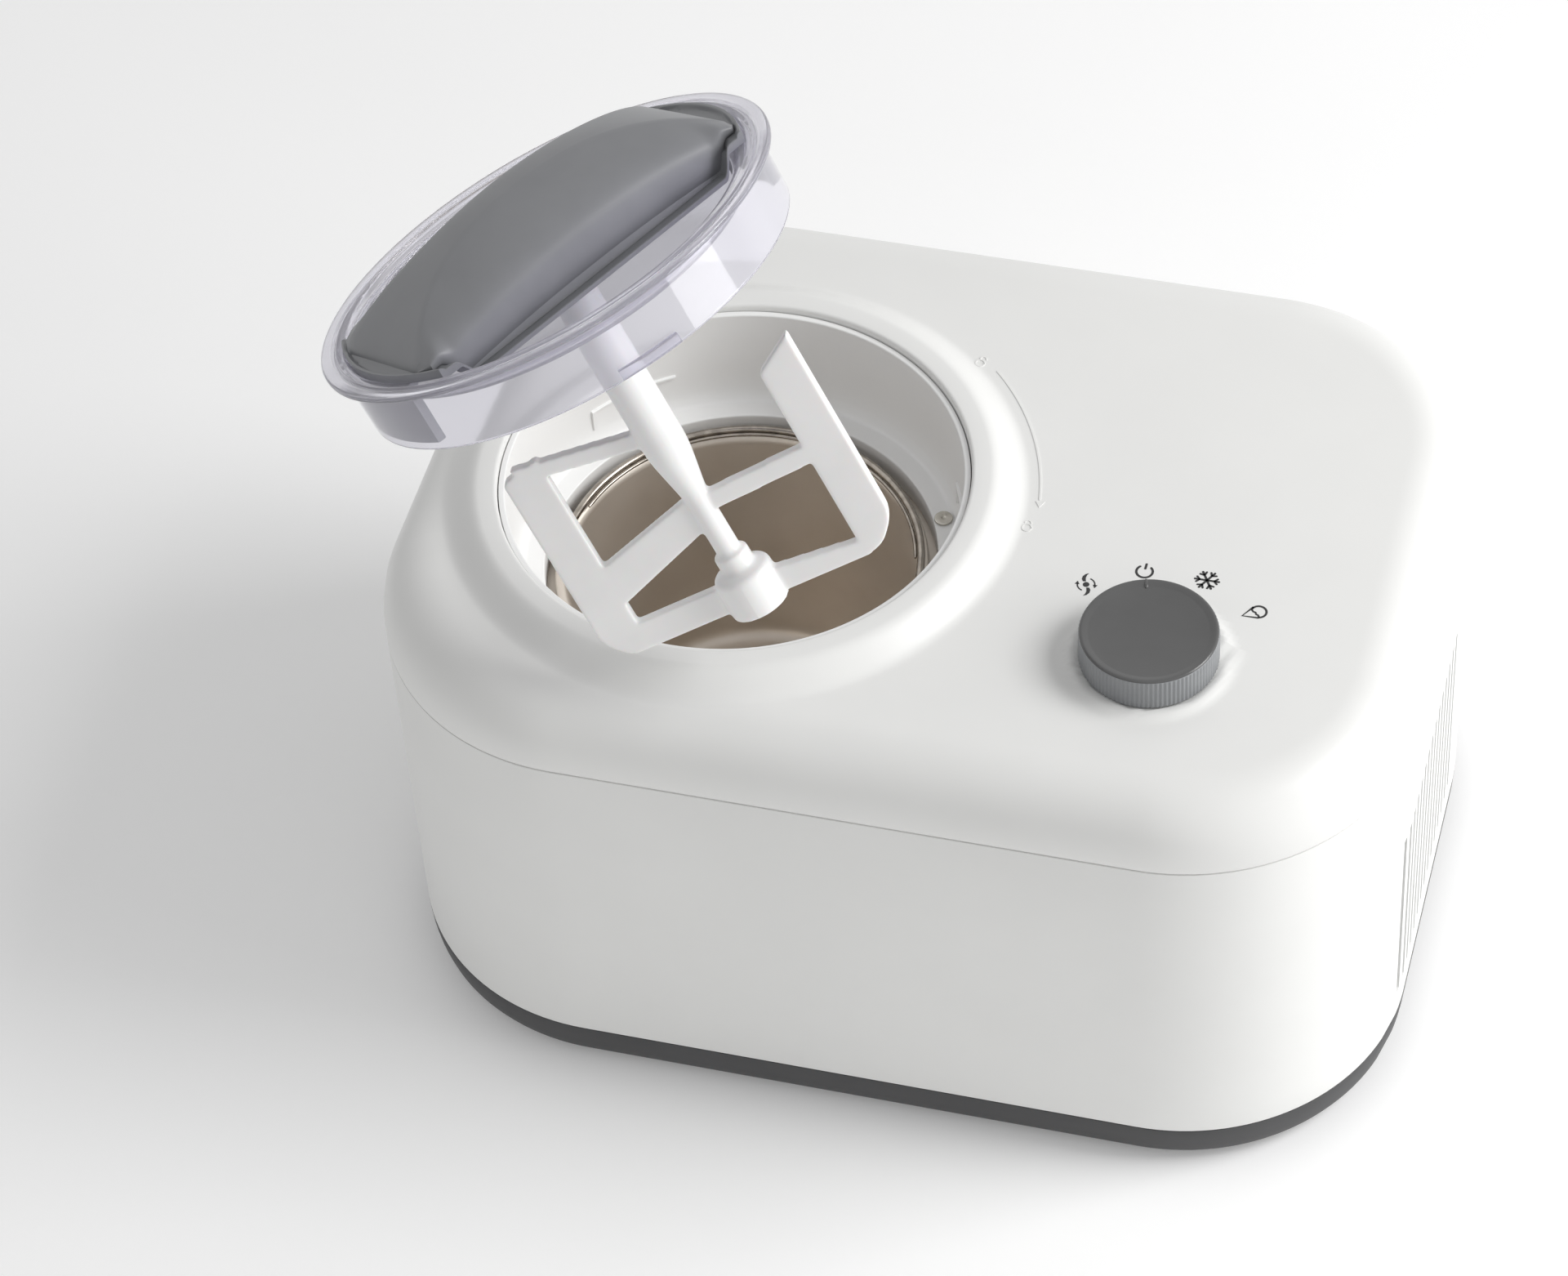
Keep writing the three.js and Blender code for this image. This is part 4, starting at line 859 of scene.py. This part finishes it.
# Matt polypropylene: a mid grey whose highlights spread wide along the fin.
matt_grey = solid_material("matt_grey_polypropylene", ("7e7f82", "848588"), 30, (0.36, 0.44), 0.45, 0.012)


def bezier(a, b, c, d, steps):
    """Points of a cubic curve in the plane, without its first one."""
    out = []
    for k in range(1, steps + 1):
        t = k / steps
        weights = ((1 - t) ** 3, 3 * t * (1 - t) ** 2, 3 * t * t * (1 - t), t ** 3)
        out.append(tuple(sum(w * p[i] for w, p in zip(weights, (a, b, c, d))) for i in (0, 1)))
    return out


def lip_height(u, w):
    """The lip's height over the plate: on the dish's floor, and up its wall towards the handle's ends."""
    return -lip_down * (1 - smoothstep(dish_r - 3, dish_r + 4, math.hypot(u, w)))


def fin_section(u):
    """One side of the handle's section at `u` along it, from the middle out: (across, height)."""
    reach = min(handle_half, math.sqrt(max(0.04, handle_r ** 2 - u ** 2)))
    along = min(1, abs(u) / fin_half_l)
    rise = fin_h * (1 - along ** 2.2) ** 0.75
    side = min(fin_half_w, reach * 0.87)
    crease = min(crest_half + 25 * along ** 3, side * 0.86)
    share = rise / fin_h
    low = lip_height(u, side)
    half = [(crease * k / 6, rise + 0.7 * share * (1 - (k / 6) ** 2)) for k in range(7)]
    width = side - crease
    belly = (side, low + (rise - low) * 0.42)
    lean = (crease + width * 0.42, rise - min(width * 0.42 * crest_slope, rise * 0.3))
    half += bezier((crease, rise), lean, (side, low + (rise - low) * 0.7), belly, 14)
    foot = (side - tuck * share, low - 0.6 * share)
    half += bezier(belly, (side, low + (rise - low) * 0.2), (side - tuck * 0.4 * share, low), foot, 6)
    half += [(side - 0.6 * share, low - 0.6 * share), (side + 0.4 * share, low - 0.1)]
    half.append((side + 0.8 * share, low))
    middle, edge = side + (reach - side) * 0.6, lip_height(u, reach)
    half += [(middle, lip_height(u, middle)), (reach - 0.3, edge), (reach, edge - 0.3)]
    return half


def lid_handle():
    plate_top = -lid_t + 0.3 + handle_t
    rows = 160
    turned = Matrix.Rotation(lid_turned, 4, "Z")
    rings = []
    for i in range(rows + 1):
        u = -handle_r + 2 * handle_r * (0.5 - 0.5 * math.cos(math.pi * i / rows))
        half = fin_section(u)
        top = [(u, -w, z) for w, z in reversed(half)] + [(u, w, z) for w, z in half[1:]]
        rimmed = [(u, w, plate_top + z + 1.6 * smoothstep(81.6, 83, math.hypot(u, w))) for u, w, z in top]
        reach, low = top[-1][1], min(0, top[-1][2] + 1.6)
        inner = reach * 0.84
        under = [(reach, low), (inner, low), (inner * 0.96, 0)]
        under += [(-w, z) for w, z in reversed(under)]
        bottom = [(u, w, plate_top - handle_t + z) for w, z in under]
        rings.append([tuple(lid_place @ turned @ Vector(p)) for p in rimmed + bottom])
    points, faces = skin(rings, ends=(True, True))
    piece = mesh_piece("handle_moulding", points, faces, matt_grey, sharp=32)
    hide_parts("lid_handle")
    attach(piece, "lid")


lid_handle()

# ---- Lid tabs ----------------------------------------------------------------------------------------
# Two curved grey tabs that hang from the handle's ends inside the skirt and lock the lid in the collar.
# Moulded in the handle's plastic.
for side, turned in (("left", 73 + 180), ("right", 73)):
    r1 = skirt_r - skirt_t - 1
    tab = arc_block(f"lock_tab_{side}", r1 - 4, r1, turned - 17, turned + 17, -skirt_h + 2, -4.9, matt_grey,
                    steps=24, place=lid_place)
    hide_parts(f"lid_tab_{side}")
    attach(tab, "lid")

# ---- Lid bush and magnet -----------------------------------------------------------------------------
# The white acetal bush under the lid's middle, which carries the paddle's shaft, and the small round magnet
# at the skirt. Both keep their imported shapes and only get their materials.
# Moulded acetal: a milky white with a soft sheen.
acetal = solid_material("moulded_acetal", ("e2e0da", "e9e7e2"), 15, (0.3, 0.38), 0.5, 0.008)
# Nickel plate: a warm mirror, slightly blurred.
magnet_nickel = solid_material(
    "nickel_plated_magnet", ("b2b1ac", "bfbeb9"), 5, (0.2, 0.3), 0.3, 0.003, Metallic=1.0,
)

nodes = frame["nodes"]


def dress(material, *names):
    for name in names:
        mesh = nodes[name].data
        mesh.materials.clear()
        mesh.materials.append(material)


dress(acetal, "lid_bush")
dress(magnet_nickel, "lid_magnet")

# ---- Paddle ------------------------------------------------------------------------------------------
# The openwork mixing paddle: flat blades and cross bars round a shaft that narrows to a neck, with a socket
# at its foot. One white moulding with soft edges, so its parts are fused on a fine grid and smoothed.
paddle_l, paddle_r, blade_w, blade_t, blade_top = 172, 63.5, 17, 5, 78
paddle_turned = math.radians(35)
# Satin polypropylene: a white that lets a little light into its edges.
paddle_white = solid_material(
    "satin_white_polypropylene", ("efefee", "f4f4f3"), 30, (0.3, 0.38), 0.6, 0.008, Subsurface_Weight=0.15,
    Subsurface_Scale=0.004,
)


def flat_bar(points):
    """A flat bar between corners given as (distance from the shaft, depth below the lid, fillet)."""
    shape = rounded([(p[0], -p[1]) + tuple(p[2:]) for p in points], steps=6)
    half = blade_t / 2
    rings = [[(u, y, v) for u, v in shape] for y in (-half, half)]
    return skin(rings, ends=(True, True))


def turned_part(profile, count=40):
    rings = []
    for r, z in profile:
        rings.append([(r * math.cos(2 * math.pi * i / count), r * math.sin(2 * math.pi * i / count), z)
                      for i in range(count)])
    return skin(rings, ends=(True, True))


def paddle():
    inner, foot, window = paddle_r - blade_w, paddle_l - 2, paddle_l - 14
    mid, hub = 119, paddle_l - 26
    parts = [
        turned_part(rounded([
            (6, -8), (6, -16.2), (8.8, -16.2, 0.5), (8.8, -97, 6), (4.9, -mid, 5), (4.9, -hub),
            (7, -hub, 1.5), (7, -hub - 7, 0.5), (12, -hub - 9, 2), (12, -paddle_l),
        ], closed=False)),
        flat_bar([(-paddle_r, blade_top + 4, 3), (-inner, blade_top, 2), (-inner, foot, 1),
                  (-paddle_r + 9, foot, 5), (-paddle_r, foot - 9, 6)]),
        flat_bar([(paddle_r, blade_top - 6, 1.5), (paddle_r, foot - 12, 7), (paddle_r - 9, foot - 2, 6),
                  (inner, foot, 1), (inner, blade_top + 5, 1.5)]),
        flat_bar([(-paddle_r + 4, blade_top), (-4, blade_top + 7), (-4, blade_top + 14),
                  (-inner - 2, blade_top + 8)]),
        flat_bar([(0, mid), (inner + 2, mid - 2), (inner + 2, mid + 6), (0, mid + 8)]),
        flat_bar([(0, mid - 2), (0, mid + 13), (-inner - 1, mid + 30), (-inner - 1, mid + 12)]),
        flat_bar([(0, window), (0, foot), (-inner - 2, foot), (-inner - 2, window)]),
        flat_bar([(0, window), (inner + 2, window + 5), (inner + 2, foot), (0, foot)]),
    ]
    points, faces = [], []
    for part_points, part_faces in parts:
        start = len(points)
        points += part_points
        faces += [tuple(start + i for i in face) for face in part_faces]
    place = lid_place @ Matrix.Rotation(paddle_turned, 4, "Z")
    piece = mesh_piece("paddle_moulding", points, faces, paddle_white, sharp=180)
    fused = piece.modifiers.new("fused", "REMESH")
    fused.mode = "VOXEL"
    fused.voxel_size = 0.75 * mm
    fused.use_smooth_shade = True
    soft = piece.modifiers.new("soft", "SMOOTH")
    soft.factor = 0.5
    soft.iterations = 5
    graph = bpy.context.evaluated_depsgraph_get()
    fused_mesh = bpy.data.meshes.new_from_object(piece.evaluated_get(graph))
    piece.modifiers.clear()
    piece.data = fused_mesh
    piece.data.transform(Matrix.Translation(lid_centre * mm) @ place.to_3x3().to_4x4())
    piece.data.shade_smooth()
    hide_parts("paddle")
    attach(piece, "mixer")


paddle()

# ---- Feet, screws and gland --------------------------------------------------------------------------
# Black rubber feet and gland, and the zinc-plated screws that hold the shell to the pan. They keep their
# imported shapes.
# Moulded rubber: a dull black with hardly a highlight.
black_rubber = solid_material("black_moulded_rubber", ("191919", "222222"), 10, (0.65, 0.8), 0.4, 0.03)
# Zinc plate: a cool grey metal with a soft sheen.
zinc_screw = solid_material(
    "zinc_plated_steel", ("9fa0a0", "b0b1b2"), 3, (0.3, 0.45), 0.2, 0.004, Metallic=1.0,
)
corners = ("front_left", "front_right", "rear_left", "rear_right")
dress(black_rubber, "cord_gland", *[f"foot_{where}" for where in corners])
dress(black_rubber, *[f"compressor_grommet_{where}" for where in ("front", "left", "right")])
dress(zinc_screw, *[f"base_screw_{where}" for where in corners])

# ---- Drive train -------------------------------------------------------------------------------------
# Hidden under the well: acetal gears, ground steel pins and pinion, a sintered bronze bushing, a glass-filled
# black gearbox and the motor's plated can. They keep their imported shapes.
# Ground steel: bright, with fine marks that spread its highlights.
ground_steel = solid_material("ground_steel", ("a9a8a6", "b9b8b6"), 4, (0.2, 0.32), 0.15, 0.003, Metallic=1.0)
# Sintered bronze: a brown metal, dulled by its pores.
bronze = solid_material("sintered_bronze", ("9a6a3c", "ab7a48"), 3, (0.4, 0.55), 0.2, 0.02, Metallic=1.0)
# Glass-filled nylon: a dull black with a faint uneven sheen.
black_glass_filled = solid_material(
    "black_glass_filled_nylon", ("151516", "1e1e20"), 12, (0.45, 0.6), 0.5, 0.02,
)
dress(acetal, "drive_gear", "idler_gear")
dress(ground_steel, "drive_spindle", "idler_pin", "motor_pinion", "switch_shaft", "motor_can")
dress(bronze, "spindle_bushing")
dress(black_glass_filled, "gearbox_housing", "gearbox_cover", "fan_shroud", "fan_rotor", "rotary_switch")

# ---- Cold circuit ------------------------------------------------------------------------------------
# The black enamelled compressor on its plate, drawn copper lines, the aluminium condenser behind the right
# louvres and the poured foam round the well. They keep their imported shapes.
# Enamelled steel: a glossy black.
enamel = solid_material("black_enamelled_steel", ("0c0c0d", "141415"), 40, (0.15, 0.25), 1.5, 0.02)
# Drawn copper: an orange metal with a soft sheen.
copper = solid_material("drawn_copper", ("b4704a", "c58158"), 10, (0.25, 0.4), 0.4, 0.006, Metallic=1.0)
# Rolled aluminium: pale, with a blurred sheen.
rolled_aluminium = solid_material(
    "rolled_aluminium", ("b4b4b2", "c0c0be"), 8, (0.3, 0.42), 0.3, 0.005, Metallic=1.0,
)
# Poured foam: a dull pale yellow with open pores.
foam = solid_material("poured_polyurethane_foam", ("d8cfa8", "e4dcba"), 6, (0.8, 0.95), 0.9, 0.3)
# Silicone: a soft red brown with little gloss.
seal_rubber = solid_material("red_brown_silicone", ("5a2a20", "653226"), 8, (0.5, 0.65), 0.4, 0.02)
dress(enamel, "compressor")
dress(grey_powder, "compressor_plate")
dress(copper, "evaporator_coil", "discharge_tube", "suction_tube", "filter_drier")
dress(rolled_aluminium, "condenser", "run_capacitor")
dress(foam, "insulation_jacket")
dress(seal_rubber, "shaft_seal")

# ---- Control board -----------------------------------------------------------------------------------
# The green circuit board under the dial: glass-epoxy with a satin solder mask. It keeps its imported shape.
# Solder mask: a dark green with a satin sheen.
solder_mask = solid_material("green_solder_mask", ("123d22", "1a4d2c"), 6, (0.3, 0.42), 0.6, 0.02)
dress(solder_mask, "control_board")

# ---- Floor and light ---------------------------------------------------------------------------------
# A plain white sweep under the feet, two soft lamps at the right, one high and one low, and an even white
# sky, as in a product studio.
floor_mesh = bpy.data.meshes.new("floor")
floor_half, floor_z = 6.0, -0.003
floor_corners = [(x * floor_half, y * floor_half, floor_z) for x, y in ((-1, -1), (1, -1), (1, 1), (-1, 1))]
floor_mesh.from_pydata(floor_corners, [], [(0, 1, 2, 3)])
# A matt sweep lit from behind: an even white that still takes the shadow.
floor_white = solid_material(
    "backlit_white_sweep", ("f2f2f2", "f4f4f4"), 400, (0.8, 0.9), 2, 0.02, Emission_Color=linear("ffffff"),
    Emission_Strength=0.14,
)
floor_mesh.materials.append(floor_white)
floor = bpy.data.objects.new("floor", floor_mesh)
bpy.context.scene.collection.objects.link(floor)


def lamp(name, place, size, power, colour="ffffff"):
    data = bpy.data.lights.new(name, "AREA")
    data.shape = "RECTANGLE"
    data.size, data.size_y = size
    data.energy = power
    data.color = linear(colour)[:3]
    light = bpy.data.objects.new(name, data)
    light.location = place
    light.rotation_euler = (Vector((0, 0, 0.15)) - Vector(place)).to_track_quat("-Z", "Y").to_euler()
    bpy.context.scene.collection.objects.link(light)


lamp("right_high", (1.9, 0.4, 1.8), (1.2, 1.2), 39)
lamp("right_low", (2.3, -0.1, 0.7), (1.2, 1.2), 15)

world = bpy.data.worlds.new("studio")
world.use_nodes = True
sky = world.node_tree.nodes["Background"]
sky.inputs["Color"].default_value = linear("ffffff")
ray = add(world, "ShaderNodeLightPath").outputs
level = add(world, "ShaderNodeMapRange", {"To Min": 1.0, "To Max": 0.47}, Value=ray["Is Diffuse Ray"])
world.node_tree.links.new(level.outputs["Result"], sky.inputs["Strength"])
bpy.context.scene.world = world
bpy.context.scene.view_settings.view_transform = "Standard"
